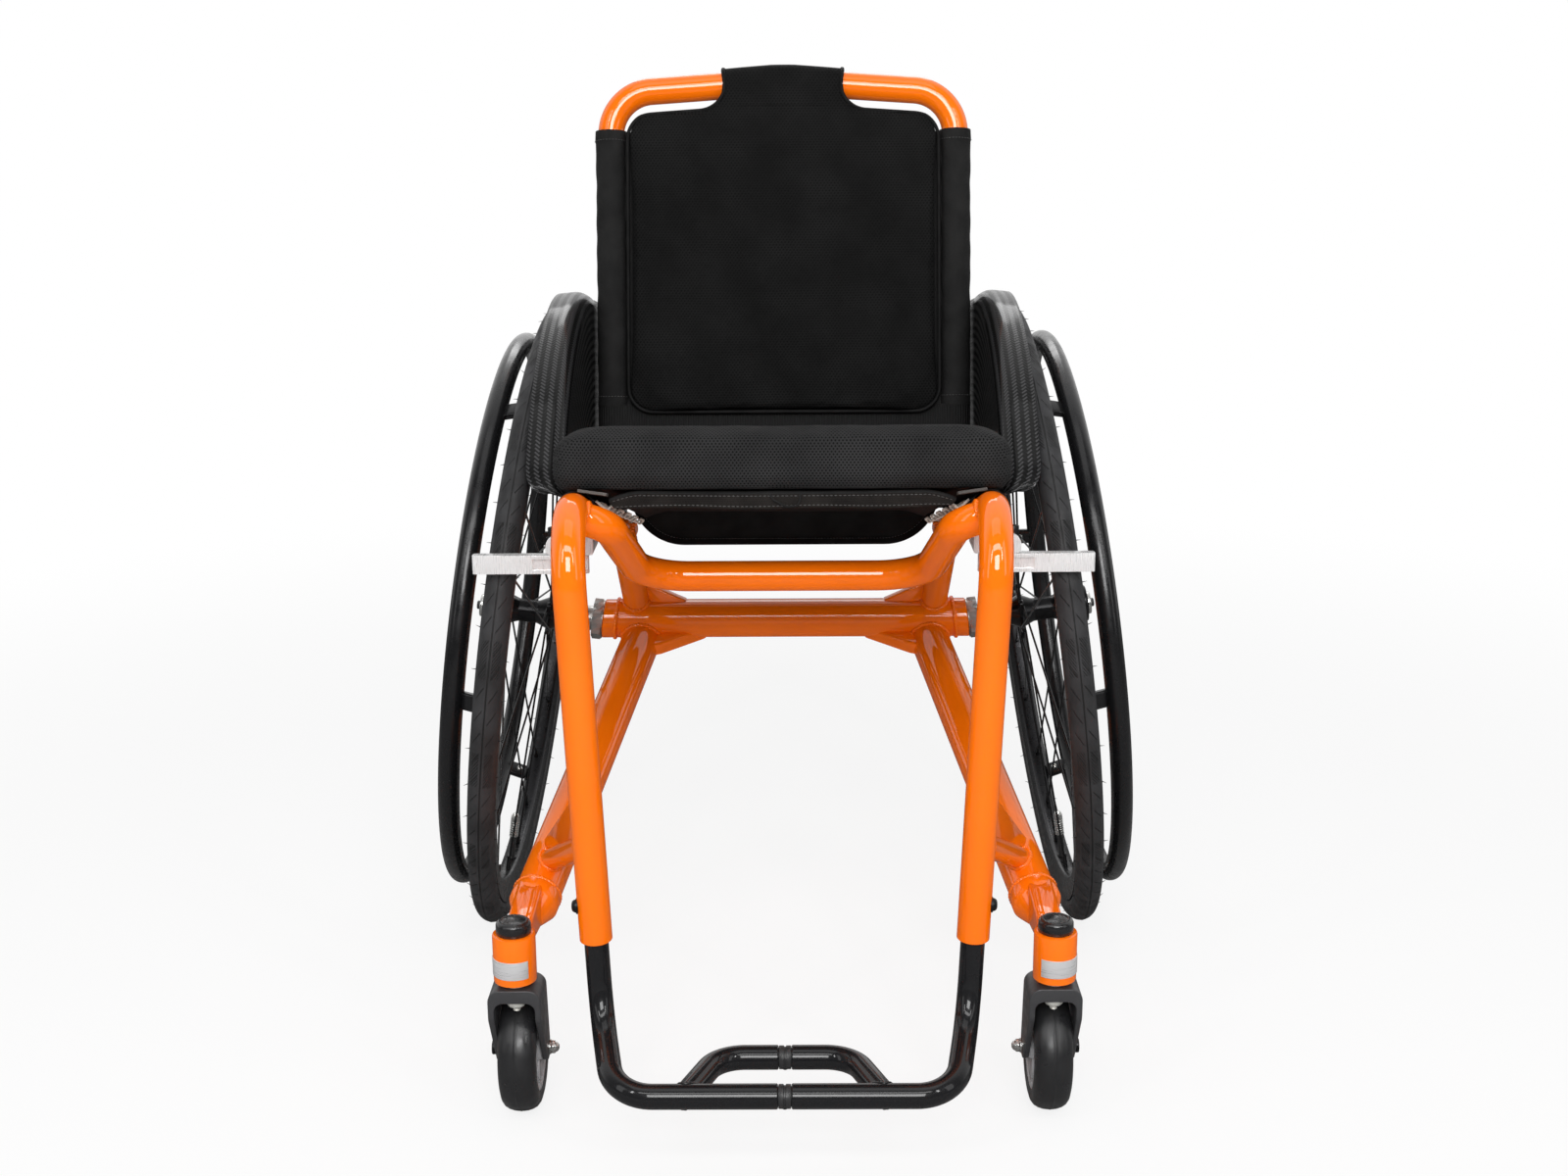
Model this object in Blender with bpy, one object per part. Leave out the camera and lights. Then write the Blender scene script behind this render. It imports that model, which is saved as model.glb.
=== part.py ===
# Sports wheelchair with a rigid welded tube frame, cambered quick-release wheels, swivelling
# casters, a laced seat, a folding back, side guards, wheel locks and a telescopic footrest.
# Metres, +Z up. The chair faces -Y, and its left side is at +X. The origin is on the floor,
# under the middle of the chair's bounding box.
from math import acos, atan2, cos, pi, radians, sin, sqrt, tan

import bmesh
import bpy
from mathutils import Matrix, Vector

for item in list(bpy.data.objects):
    bpy.data.objects.remove(item, do_unlink=True)

# Clearances
GAP = 0.0003             # between pieces that touch or are welded
RUN = 0.0006             # round a shaft, sleeve or tube that turns or slides
HUB_END_GAP = 0.0005     # between a hub's end and the piece beside it

# Rear wheels, measured along the cambered axle from the wheel's middle plane
CAMBER = radians(7.2)
TYRE_R = 0.305
TYRE_SECTION_R = 0.0125
RIM_DEPTH = 0.0222
RIM_HALF_WIDTH = 0.011
PUSHRIM_R = 0.2615       # to the middle of its tube
PUSHRIM_TUBE_R = 0.0095
PUSHRIM_OFFSET = 0.034
PUSHRIM_TABS = 6
TAB_WIDTH = 0.016
WHEEL_STEPS = 40
HUB_INNER_END = 0.046
HUB_OUTER_END = 0.049
HUB_BARREL_R = 0.0125
FLANGE_OFFSET = 0.0295
FLANGE_THICKNESS = 0.004
FLANGE_R = 0.0285
FLANGE_ARMS = 6
SPOKE_R = 0.0011
SPOKE_SWEEP = radians(52.5)
AXLE_R = 0.00635
AXLE_HEAD_R = 0.011
AXLE_HEAD_LENGTH = 0.0035
BUTTON_R = 0.0042
BUTTON_STANDS = 0.0035

# Frame tubes
TUBE_R = 0.0127
TUBE_SIDES = 12
RAIL_END_X, RAIL_END_Y = 0.160, 0.045              # half the frame's width, which the rest follows
KNEE_IN, LEG_IN = 0.0012, 0.0139                   # inboard of the rails' rear ends
KNEE_Y, KNEE_Z = -0.4591, 0.5017
KNEE_BEND_R = 0.05
LEG_END_Y, LEG_END_Z = -0.4475, 0.1565
SEAT_DUMP = radians(14.0)
BIG_TUBE_R = 0.019       # axle tube and down tubes
BIG_TUBE_SIDES = 16
AXLE_TUBE_DROP = 0.0076  # its middle below the wheels' centres
AXLE_TUBE_WALL = 0.0035
UPRIGHT_Y = -0.02
UPRIGHT_FOOT_IN = 0.016
UPRIGHT_INSET = 0.002    # its head from the rail's middle
GUSSET_THICKNESS = 0.012
FRONT_GUSSET_THICKNESS = 0.014
DOWN_TUBE_IN, DOWN_TUBE_DROP = 0.0201, 0.015       # its centre line under the axle tube
DOWN_TUBE_END_OUT, DOWN_TUBE_END_Y = 0.0453, -0.345
DOWN_TUBE_END_DROP = 0.0104                        # below the housing's top
CROSSBAR_ROOT_Y = -0.400
CROSSBAR_DROP = 0.006    # its root below the rail's middle
CROSSBAR_SHOULDER_IN = 0.026
CROSSBAR_CORNER_IN, CROSSBAR_Y, CROSSBAR_Z = 0.042, -0.270, 0.403
BRACE_R = 0.0095
BRACE_LEG_Z = 0.236
BRACE_PLATE = 0.004
BRACE_ALONG = 0.91       # where the brace leaves the down tube, as a share of its length

# Camber plugs in the axle tube's ends
PLUG_NUT_ACROSS_FLATS = 0.036
PLUG_NUT_LENGTH = 0.0105
PLUG_SLEEVE_R = 0.0125
PLUG_INSERT = 0.016
PLUG_STANDS = 0.022908   # its length outside the axle tube

# Casters
CASTER_OUT = 0.0505      # outboard of the rails' rear ends
CASTER_AXLE_Y = -0.4190
CASTER_TRAIL = 0.0257
CASTER_R = 0.050
CASTER_WIDTH = 0.030
CASTER_BEAD_R = 0.034
CASTER_STEPS = 24
CASTER_BOLT_R = 0.004
FORK_WIDTH = 0.0415
FORK_LEG = 0.0048
FORK_DEPTH = 0.028
FORK_LEG_END = 0.016
CROWN_OVER_TYRE = 0.007  # between the caster's tread and the crown, at the wheel's top
CROWN_THICKNESS = 0.011
STEM_R = 0.006
HOUSING_R = 0.0168
HOUSING_OVER_CROWN = 0.0038
HOUSING_LENGTH = 0.0392
CAP_R = 0.0138
CAP_HEIGHT = 0.0108
COLLAR_R = 0.0205
COLLAR_LENGTH = 0.014
ARM_WIDTH = 0.021
ARM_ROOT_RISE, ARM_ROOT_DROP = 0.005, 0.030        # from the housing's top
ARM_TIP_DROP = 0.015

# Footrest
FOOT_TUBE_R = 0.0095
FOOT_REACH = 0.527       # the front bar's middle, forward of the axle
FOOT_BAR_Z = 0.0656
FOOT_BEND_Z = 0.092
FOOT_CORNER_IN = 0.032
FOOT_INSERT = 0.145      # hidden in the frame's leg
FOOT_TRAVEL = 0.030
FOOT_SPLIT = 0.010       # between the halves
REAR_BAR_BEHIND, REAR_BAR_Z = 0.065, 0.063
REAR_BAR_ROOT_X, REAR_BAR_CORNER_X = 0.074, 0.052
JOINER_R = 0.0076
FRONT_JOINER_HALF, REAR_JOINER_HALF = 0.034, 0.022

# Seat
CUSHION_SIDE_GAP = 0.0085                          # to the side guards
CUSHION_THICKNESS = 0.048
CUSHION_FRONT_Y, CUSHION_REAR_Y = -0.402, -0.014
SLING_THICKNESS = 0.003
SLING_IN = 0.0265        # its edge, inboard of the rails' rear ends
SLING_FRONT_Y, SLING_REAR_Y = -0.378, -0.030
SLING_HEM = 0.014
COVER_WALL = 0.0016      # cloth round the rails and the back posts
LACE_R = 0.0012
LACE_TURNS = 13

# Back
HINGE_Y, HINGE_Z = 0.0225, 0.462
BACK_LEAN = radians(11.0)
POST_OUT = 0.007         # outboard of the rails' rear ends
POST_FOOT = 0.036        # from here on, lengths run up the leaning back from its hinge
HOOP_TOP = 0.3535
HOOP_CROWN = radians(3.9)
HOOP_BEND_R = 0.042
SLEEVE_LOW, SLEEVE_HIGH = 0.040, 0.306
SHEET_THICKNESS = 0.0022
SHEET_OFFSET = 0.0045    # the sheet's back face, forward of the posts' middle
PAD_THICKNESS = 0.012
PAD_LOW = 0.034
PAD_IN = 0.0145          # its side, inboard of the posts' middle
NECK_HALF_WIDTH = 0.0605
TAIL_LOW = -0.092
TAIL_IN = 0.019
LUG_THICKNESS = 0.0096
LUG_R = 0.012
EAR = 0.0043
HINGE_PIN_R = 0.004

# Side guards
GUARD_STANDS = 0.0108    # the panel's inner face from the rail's side
GUARD_THICKNESS = 0.0025
GUARD_CLEARANCE = 0.007  # between the fender and the tyre
TYRE_TO_GUARD = 0.01334  # between the panel and the tyre's side, at its top
GUARD_NOSE = 0.0247      # the fender's front end above the rail's middle
GUARD_REAR_ANGLE = radians(-18)
FENDER_TOP_WIDTH, FENDER_FRONT_WIDTH = 0.0355, 0.0125
GUARD_BEHIND_CLAMP = 0.0117                        # from the lock's clamp to the panel's front
GUARD_REAR_FOOT_Y = 0.062
STANDOFF_R = 0.007
STANDOFF_FRONT_IN, STANDOFF_REAR_Y = 0.038, -0.060

# Wheel locks
LOCK_Z = 0.419
LOCK_CLEARANCE = 0.0028  # from its back to the tyre's tread, at the bar's height
LOCK_HEIGHT = 0.0155
LOCK_DEPTH = 0.010
LOCK_PIVOT_OUT = 0.0105  # outboard of the rail's rear end
LOCK_TAIL = 0.0105       # inboard of the pivot
LOCK_PAST_WHEEL = 0.0075
LOCK_PIN_R = 0.004
CLAMP_IN, CLAMP_OUT = 0.015, 0.035
CLAMP_LENGTH = 0.040

# Worked out from the above
KNEE_X, LEG_END_X = RAIL_END_X - KNEE_IN, RAIL_END_X - LEG_IN
UPRIGHT_FOOT_X = RAIL_END_X - UPRIGHT_FOOT_IN
DOWN_TUBE_X, DOWN_TUBE_END_X = RAIL_END_X - DOWN_TUBE_IN, RAIL_END_X + DOWN_TUBE_END_OUT
CROSSBAR_SHOULDER_X, CROSSBAR_CORNER_X = RAIL_END_X - CROSSBAR_SHOULDER_IN, RAIL_END_X - CROSSBAR_CORNER_IN
CASTER_X = RAIL_END_X + CASTER_OUT
CROWN_TOP = 2 * CASTER_R + CROWN_OVER_TYRE + CROWN_THICKNESS
HOUSING_LOW = CROWN_TOP + HOUSING_OVER_CROWN
HOUSING_HIGH = HOUSING_LOW + HOUSING_LENGTH
ARM_ROOT_TOP, ARM_ROOT_LOW = HOUSING_HIGH + ARM_ROOT_RISE, HOUSING_HIGH - ARM_ROOT_DROP
ARM_TIP_LOW = HOUSING_HIGH - ARM_TIP_DROP
DOWN_TUBE_END_Z = HOUSING_HIGH - DOWN_TUBE_END_DROP
FOOT_CORNER_X, REAR_BAR_Y = RAIL_END_X - FOOT_CORNER_IN, REAR_BAR_BEHIND - FOOT_REACH
POST_X = RAIL_END_X + POST_OUT
PAD_HALF_WIDTH, TAIL_HALF_WIDTH = POST_X - PAD_IN, POST_X - TAIL_IN
SLING_HALF_WIDTH = RAIL_END_X - SLING_IN
GUARD_X = RAIL_END_X + TUBE_R + GUARD_STANDS
FENDER_OUT_TOP, FENDER_OUT_FRONT = GUARD_X + FENDER_TOP_WIDTH, GUARD_X + FENDER_FRONT_WIDTH
CUSHION_WIDTH = 2 * (GUARD_X - CUSHION_SIDE_GAP)
WHEEL_Z = TYRE_R * cos(CAMBER)
WHEEL_X = (GUARD_X + GUARD_THICKNESS + TYRE_TO_GUARD + TYRE_SECTION_R
           + (TYRE_R - TYRE_SECTION_R) * sin(CAMBER))
AXLE_TUBE_Z = WHEEL_Z - AXLE_TUBE_DROP
AXLE_TUBE_HALF = WHEEL_X - (HUB_INNER_END + HUB_END_GAP + PLUG_STANDS
                            - AXLE_TUBE_DROP * sin(CAMBER)) / cos(CAMBER)
DOWN_TUBE_Z = AXLE_TUBE_Z - DOWN_TUBE_DROP
AXLE_Y = (FOOT_REACH + FOOT_TUBE_R - TYRE_R) / 2
RIM_OUTER_R = TYRE_R - TYRE_SECTION_R - 0.008
RIM_INNER_R = RIM_OUTER_R - RIM_DEPTH
STEM_Y = CASTER_AXLE_Y - CASTER_TRAIL
LOCK_BACK_Y = -sqrt(TYRE_R ** 2 - (LOCK_Z - WHEEL_Z) ** 2) - LOCK_CLEARANCE
GUARD_FRONT_FOOT_Y = LOCK_BACK_Y - LOCK_DEPTH + CLAMP_LENGTH + GUARD_BEHIND_CLAMP
LOCK_PIVOT_X = RAIL_END_X + LOCK_PIVOT_OUT
LOCK_INNER_X, LOCK_OUTER_X = LOCK_PIVOT_X - LOCK_TAIL, WHEEL_X + LOCK_PAST_WHEEL
CLAMP_INNER_X, CLAMP_OUTER_X = RAIL_END_X - CLAMP_IN, RAIL_END_X + CLAMP_OUT


# Materials

def paint(name, colour, roughness, metallic=0.0):
    found = bpy.data.materials.get(name)
    if found is None:
        found = bpy.data.materials.new(name)
        found.use_nodes = True
        shader = found.node_tree.nodes["Principled BSDF"]
        shader.inputs["Base Color"].default_value = (*colour, 1.0)
        shader.inputs["Roughness"].default_value = roughness
        shader.inputs["Metallic"].default_value = metallic
    return found


ORANGE = paint("orange_powder_coat", (1.0, 0.19, 0.015), 0.22)
BLACK_COAT = paint("black_gloss_coat", (0.012, 0.012, 0.013), 0.28)
BLACK_ANODISED = paint("black_anodised", (0.02, 0.02, 0.022), 0.35, 0.6)
BRIGHT = paint("milled_aluminium", (0.75, 0.75, 0.76), 0.3, 1.0)
STEEL = paint("bright_steel", (0.6, 0.6, 0.6), 0.25, 1.0)
TYRE_RUBBER = paint("tyre_rubber", (0.045, 0.045, 0.048), 0.75)
CASTER_RUBBER = paint("caster_polyurethane", (0.025, 0.025, 0.027), 0.4)
GREY_PLASTIC = paint("grey_plastic", (0.45, 0.45, 0.46), 0.45)
BLACK_PLASTIC = paint("black_plastic", (0.015, 0.015, 0.016), 0.4)
CARBON = paint("carbon_twill", (0.03, 0.03, 0.032), 0.25)
WOVEN = paint("black_woven_cloth", (0.014, 0.014, 0.015), 0.85)
MESH_CLOTH = paint("black_spacer_mesh", (0.012, 0.012, 0.013), 0.9)
CORD = paint("ivory_cord", (0.72, 0.70, 0.62), 0.8)


# Modelling helpers

def as_object(mesh):
    """A working object that holds this mesh."""
    item = bpy.data.objects.new("work", mesh)
    bpy.context.scene.collection.objects.link(item)
    return item


def from_bmesh(shape):
    """Welds the shape, turns its faces outwards and makes it an object."""
    bmesh.ops.remove_doubles(shape, verts=shape.verts, dist=1e-6)
    bmesh.ops.recalc_face_normals(shape, faces=shape.faces)
    mesh = bpy.data.meshes.new("work")
    shape.to_mesh(mesh)
    shape.free()
    return as_object(mesh)


def settled(item):
    """The object with its modifiers, or its curve, turned into a welded mesh."""
    graph = bpy.context.evaluated_depsgraph_get()
    mesh = bpy.data.meshes.new_from_object(item.evaluated_get(graph))
    bpy.data.objects.remove(item)
    shape = bmesh.new()
    shape.from_mesh(mesh)
    return from_bmesh(shape)


def boolean(body, tool, operation, keep=False):
    modifier = body.modifiers.new(operation.lower(), "BOOLEAN")
    modifier.operation = operation
    modifier.solver = "EXACT"
    modifier.object = tool
    result = settled(body)
    if not keep:
        bpy.data.objects.remove(tool)
    return result


def cut(body, *tools, keep=False):
    for tool in tools:
        body = boolean(body, tool, "DIFFERENCE", keep)
    return body


def join(body, *others):
    for other in others:
        body = boolean(body, other, "UNION")
    return body


def moved(item, matrix):
    item.data.transform(matrix)
    if matrix.determinant() < 0:
        item.data.flip_normals()
    return item


def shifted(item, x=0.0, y=0.0, z=0.0):
    return moved(item, Matrix.Translation((x, y, z)))


def mirrored_copy(item):
    """The same shape on the chair's other side."""
    return moved(as_object(item.data.copy()), Matrix.Scale(-1, 4, (1, 0, 0)))


def rounded(points, radii, steps, closed=False):
    """The points' path with each corner turned into an arc of its radius."""
    points = [Vector(p) for p in points]
    count = len(points)
    if not hasattr(radii, "__len__"):
        radii = [radii] * count
    path = []
    for i, corner in enumerate(points):
        if radii[i] <= 0 or (not closed and i in (0, count - 1)):
            path.append(corner)
            continue
        back = (points[i - 1] - corner).normalized()
        ahead = (points[(i + 1) % count] - corner).normalized()
        turn = pi - back.angle(ahead)
        if turn < 1e-4:
            path.append(corner)
            continue
        reach = radii[i] * tan(turn / 2)
        middle = corner + (back + ahead).normalized() * radii[i] / cos(turn / 2)
        first = corner + back * reach - middle
        last = corner + ahead * reach - middle
        for k in range(steps + 1):
            share = k / steps
            path.append(middle + (first * sin((1 - share) * turn) + last * sin(share * turn)) / sin(turn))
    return path


def tube(path, radius, sides=TUBE_SIDES):
    """A solid round bar along the path: a bevelled curve with filled caps."""
    curve = bpy.data.curves.new("tube", "CURVE")
    curve.dimensions = "3D"
    curve.bevel_depth = radius
    curve.bevel_resolution = (sides - 4) // 2
    curve.use_fill_caps = True
    spline = curve.splines.new("POLY")
    spline.points.add(len(path) - 1)
    for point, place in zip(spline.points, path):
        point.co = (*place, 1.0)
    return settled(as_object(curve))


def rod(start, end, radius, sides=12):
    """A straight round bar: a cylinder laid between two points."""
    start, end = Vector(start), Vector(end)
    shape = bmesh.new()
    bmesh.ops.create_cone(shape, cap_ends=True, segments=sides, radius1=radius, radius2=radius,
                          depth=(end - start).length)
    turn = (end - start).to_track_quat("Z", "Y").to_matrix().to_4x4()
    bmesh.ops.transform(shape, matrix=Matrix.Translation((start + end) / 2) @ turn,
                        verts=shape.verts)
    return from_bmesh(shape)


def turned(profile, steps, closed=True):
    """A profile of (radius, height) pairs spun round Z. An open one starts and ends on the axis."""
    shape = bmesh.new()
    ring = [shape.verts.new((radius, 0, height)) for radius, height in profile]
    pairs = list(zip(ring, ring[1:]))
    if closed:
        pairs.append((ring[-1], ring[0]))
    edges = [shape.edges.new(pair) for pair in pairs]
    bmesh.ops.spin(shape, geom=ring + edges, cent=(0, 0, 0), axis=(0, 0, 1), angle=2 * pi,
                   steps=steps, use_merge=True, use_duplicate=False)
    return from_bmesh(shape)


def along_x(item):
    """Lays a shape turned round Z along +X."""
    return moved(item, Matrix.Rotation(pi / 2, 4, "Y"))


AXES = {
    "X": Matrix(((0, 0, 1, 0), (1, 0, 0, 0), (0, 1, 0, 0), (0, 0, 0, 1))),
    "Y": Matrix(((1, 0, 0, 0), (0, 0, 1, 0), (0, 1, 0, 0), (0, 0, 0, 1))),
    "Z": Matrix.Identity(4),
}


def slab(outline, low, high, axis):
    """A flat outline extruded along an axis. The pairs are (y, z), (x, z) or (x, y)."""
    shape = bmesh.new()
    face = shape.faces.new([shape.verts.new((a, b, low)) for a, b in outline])
    grown = bmesh.ops.extrude_face_region(shape, geom=[face])
    top = [part for part in grown["geom"] if isinstance(part, bmesh.types.BMVert)]
    bmesh.ops.translate(shape, vec=(0, 0, high - low), verts=top)
    bmesh.ops.transform(shape, matrix=AXES[axis], verts=shape.verts)
    return from_bmesh(shape)


def bevelled(item, width, segments=1, limit=40):
    modifier = item.modifiers.new("bevel", "BEVEL")
    modifier.width = width
    modifier.segments = segments
    modifier.limit_method = "ANGLE"
    modifier.angle_limit = radians(limit)
    return settled(item)


def rectangle(left, right, low, high):
    return [(left, low), (right, low), (right, high), (left, high)]


def empty(name, place, turn=(0.0, 0.0, 0.0), parent=None):
    marker = bpy.data.objects.new(name, None)
    marker.empty_display_size = 0.03
    marker.location = place
    marker.rotation_euler = turn
    marker.parent = parent
    bpy.context.scene.collection.objects.link(marker)
    return marker


CHAIR = empty("chair", (0, AXLE_Y, 0))      # on the floor under the rear axle


def finish(item, name, material, parent=CHAIR, smooth=35):
    """Names a piece, gives it its material and hangs it on its carrier."""
    item.name = name
    item.data.name = name
    item.data.materials.clear()
    item.data.materials.append(material)
    item.data.shade_smooth()
    item.data.set_sharp_from_angle(angle=radians(smooth))
    item.parent = parent
    return item


def finish_pair(item, name, material, parents=(CHAIR, CHAIR), smooth=35):
    """The left piece and its mirror image on the right."""
    other = mirrored_copy(item)
    finish(item, "left_" + name, material, parents[0], smooth)
    finish(other, "right_" + name, material, parents[1], smooth)


def paired_empties(name, place, turn=(0.0, 0.0, 0.0), parents=(CHAIR, CHAIR)):
    x, y, z = place
    a, b, c = turn
    return (empty("left_" + name, (x, y, z), (a, b, c), parents[0]),
            empty("right_" + name, (-x, y, z), (a, -b, -c), parents[1]))


# Frame lines

KNEE = Vector((KNEE_X, KNEE_Y, KNEE_Z))
LEG_END = Vector((LEG_END_X, LEG_END_Y, LEG_END_Z))
LEG_AXIS = (KNEE - LEG_END).normalized()


def rail(y):
    """The seat rail's centre at this distance behind the axle."""
    share = (y - KNEE_Y) / (RAIL_END_Y - KNEE_Y)
    return Vector((KNEE_X + (RAIL_END_X - KNEE_X) * share, y, KNEE_Z - (y - KNEE_Y) * tan(SEAT_DUMP)))


def leg(z):
    """The front leg's centre at this height."""
    return LEG_END + LEG_AXIS * ((z - LEG_END_Z) / LEG_AXIS.z)


def side_tube(radius):
    path = rounded((LEG_END, KNEE, rail(RAIL_END_Y)), KNEE_BEND_R, 8)
    return tube(path, radius)


def axle_bar(radius):
    """A plain bar in the axle tube's place."""
    bar = turned([(0, -AXLE_TUBE_HALF), (radius, -AXLE_TUBE_HALF), (radius, AXLE_TUBE_HALF),
                  (0, AXLE_TUBE_HALF)], BIG_TUBE_SIDES, closed=False)
    return shifted(along_x(bar), z=AXLE_TUBE_Z)


DOWN_START = Vector((DOWN_TUBE_X, 0.0, DOWN_TUBE_Z))
DOWN_END = Vector((DOWN_TUBE_END_X, DOWN_TUBE_END_Y, DOWN_TUBE_END_Z))


def down_bar(radius):
    return rod(DOWN_START, DOWN_END, radius, BIG_TUBE_SIDES)


UPRIGHT_FOOT = Vector((UPRIGHT_FOOT_X, 0, AXLE_TUBE_Z))
UPRIGHT_HEAD = rail(UPRIGHT_Y) - Vector((UPRIGHT_INSET, 0, 0))


def upright_bar(radius):
    return rod(UPRIGHT_HEAD, UPRIGHT_FOOT, radius, TUBE_SIDES)


def upright_x(z):
    """How far out the upright's middle line is at this height."""
    return UPRIGHT_FOOT.lerp(UPRIGHT_HEAD, (z - UPRIGHT_FOOT.z) / (UPRIGHT_HEAD.z - UPRIGHT_FOOT.z)).x


# Side tubes: front leg, knee and seat rail are one bent tube, bored for the footrest

bore_top = leg(LEG_END_Z + FOOT_INSERT + FOOT_TRAVEL + 0.02)
bore = rod(LEG_END - LEG_AXIS * 0.01, bore_top, FOOT_TUBE_R + RUN + 0.0001, TUBE_SIDES)
finish_pair(cut(side_tube(TUBE_R), bore), "side_tube", ORANGE)


# Front crossbar between the knees, set back and down to clear the calves

root = rail(CROSSBAR_ROOT_Y) - Vector((0, 0, CROSSBAR_DROP))
shoulder = Vector((CROSSBAR_SHOULDER_X, CROSSBAR_ROOT_Y + 0.003, root.z - 0.006))
corner = Vector((CROSSBAR_CORNER_X, CROSSBAR_Y, CROSSBAR_Z))
half = [root, shoulder, corner]
bar_points = half + [Vector((-p.x, p.y, p.z)) for p in reversed(half)]
crossbar = tube(rounded(bar_points, (0, 0.028, 0.045, 0.045, 0.028, 0), 5), TUBE_R)
rail_cutter = side_tube(TUBE_R + GAP)
other_rail_cutter = mirrored_copy(rail_cutter)
finish(cut(crossbar, rail_cutter, other_rail_cutter), "front_crossbar", ORANGE)


# Axle tube, with a folded gusset above and below it at each upright

axle_tube = along_x(turned([(BIG_TUBE_R - AXLE_TUBE_WALL, -AXLE_TUBE_HALF), (BIG_TUBE_R, -AXLE_TUBE_HALF),
                            (BIG_TUBE_R, AXLE_TUBE_HALF), (BIG_TUBE_R - AXLE_TUBE_WALL, AXLE_TUBE_HALF)],
                           BIG_TUBE_SIDES))
for vertex in axle_tube.data.vertices:
    # The ends are square to the cambered axles
    vertex.co.x -= (1 if vertex.co.x > 0 else -1) * vertex.co.z * tan(CAMBER)
shifted(axle_tube, z=AXLE_TUBE_Z)
gusset_foot = AXLE_TUBE_Z + BIG_TUBE_R - 0.003
gusset_x = UPRIGHT_FOOT_X
gusset_top = gusset_foot + 0.030
upper_gusset = slab(rounded([(gusset_x - 0.054, gusset_foot), (upright_x(gusset_foot), gusset_foot),
                             (upright_x(gusset_top), gusset_top),
                             (gusset_x - 0.014, gusset_foot + 0.018)],
                            (0, 0, 0, 0.012), 2, closed=True),
                    -GUSSET_THICKNESS / 2, GUSSET_THICKNESS / 2, "Y")
front_gusset = slab(rounded([(gusset_x - 0.069, 0.0), (gusset_x - 0.064, -0.006),
                             (gusset_x - 0.023, -0.031), (gusset_x + 0.006, -0.041),
                             (gusset_x + 0.006, 0.0)],
                            (0, 0.008, 0.010, 0, 0), 2, closed=True),
                    -FRONT_GUSSET_THICKNESS / 2, FRONT_GUSSET_THICKNESS / 2, "Z")
front_gusset = bevelled(front_gusset, 0.004)
down_slope = atan2(DOWN_START.z - DOWN_END.z, DOWN_START.y - DOWN_END.y)
moved(front_gusset, Matrix.Translation((0, 0, DOWN_TUBE_Z + 0.002))
      @ Matrix.Rotation(down_slope, 4, "X"))
hollow = axle_bar(BIG_TUBE_R - AXLE_TUBE_WALL)
for plate in (upper_gusset, front_gusset):
    plate = cut(plate, upright_bar(TUBE_R + GAP), down_bar(BIG_TUBE_R + GAP))
    plate = cut(plate, hollow, keep=True)
    axle_tube = join(axle_tube, mirrored_copy(plate), plate)
bpy.data.objects.remove(hollow)
finish(axle_tube, "axle_tube", ORANGE)


# Uprights from the axle tube to the seat rails

upright = cut(upright_bar(TUBE_R), side_tube(TUBE_R + GAP), axle_bar(BIG_TUBE_R + GAP))
finish_pair(upright, "upright", ORANGE)


# Down tubes from the axle tube to the casters

down_tube = cut(down_bar(BIG_TUBE_R), axle_bar(BIG_TUBE_R + GAP))
finish_pair(down_tube, "down_tube", ORANGE)


# Caster arms: a collar on the down tube's end, a square arm and the stem's housing

down_axis = (DOWN_END - DOWN_START).normalized()
collar = turned([(0, 0), (COLLAR_R - 0.002, 0), (COLLAR_R, 0.002), (COLLAR_R, COLLAR_LENGTH),
                 (ARM_WIDTH / 2, COLLAR_LENGTH + 0.018), (0, COLLAR_LENGTH + 0.018)],
                BIG_TUBE_SIDES, closed=False)
moved(collar, Matrix.Translation(DOWN_END + down_axis * GAP)
      @ down_axis.to_track_quat("Z", "Y").to_matrix().to_4x4())
arm_root = DOWN_END + down_axis * COLLAR_LENGTH
arm_outline = [(arm_root.y + 0.006, ARM_ROOT_TOP), (STEM_Y, HOUSING_HIGH - 0.0005),
               (STEM_Y, ARM_TIP_LOW), (arm_root.y + 0.004, ARM_ROOT_LOW)]
arm_x = (CASTER_X + arm_root.x) / 2
arm = bevelled(slab(arm_outline, arm_x - ARM_WIDTH / 2, arm_x + ARM_WIDTH / 2, "X"), 0.002)
housing = turned([(0, HOUSING_LOW), (HOUSING_R - 0.001, HOUSING_LOW), (HOUSING_R, HOUSING_LOW + 0.001),
                  (HOUSING_R, HOUSING_HIGH - 0.001), (HOUSING_R - 0.001, HOUSING_HIGH),
                  (0, HOUSING_HIGH)], 20, closed=False)
shifted(housing, CASTER_X, STEM_Y)
stem_bore = rod((CASTER_X, STEM_Y, HOUSING_LOW - 0.01), (CASTER_X, STEM_Y, HOUSING_HIGH + 0.01),
                STEM_R + RUN)
finish_pair(cut(join(housing, arm, collar), stem_bore), "caster_arm", ORANGE)


# Leg braces: a short tube and a gusset plate from each down tube to the front leg

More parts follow.
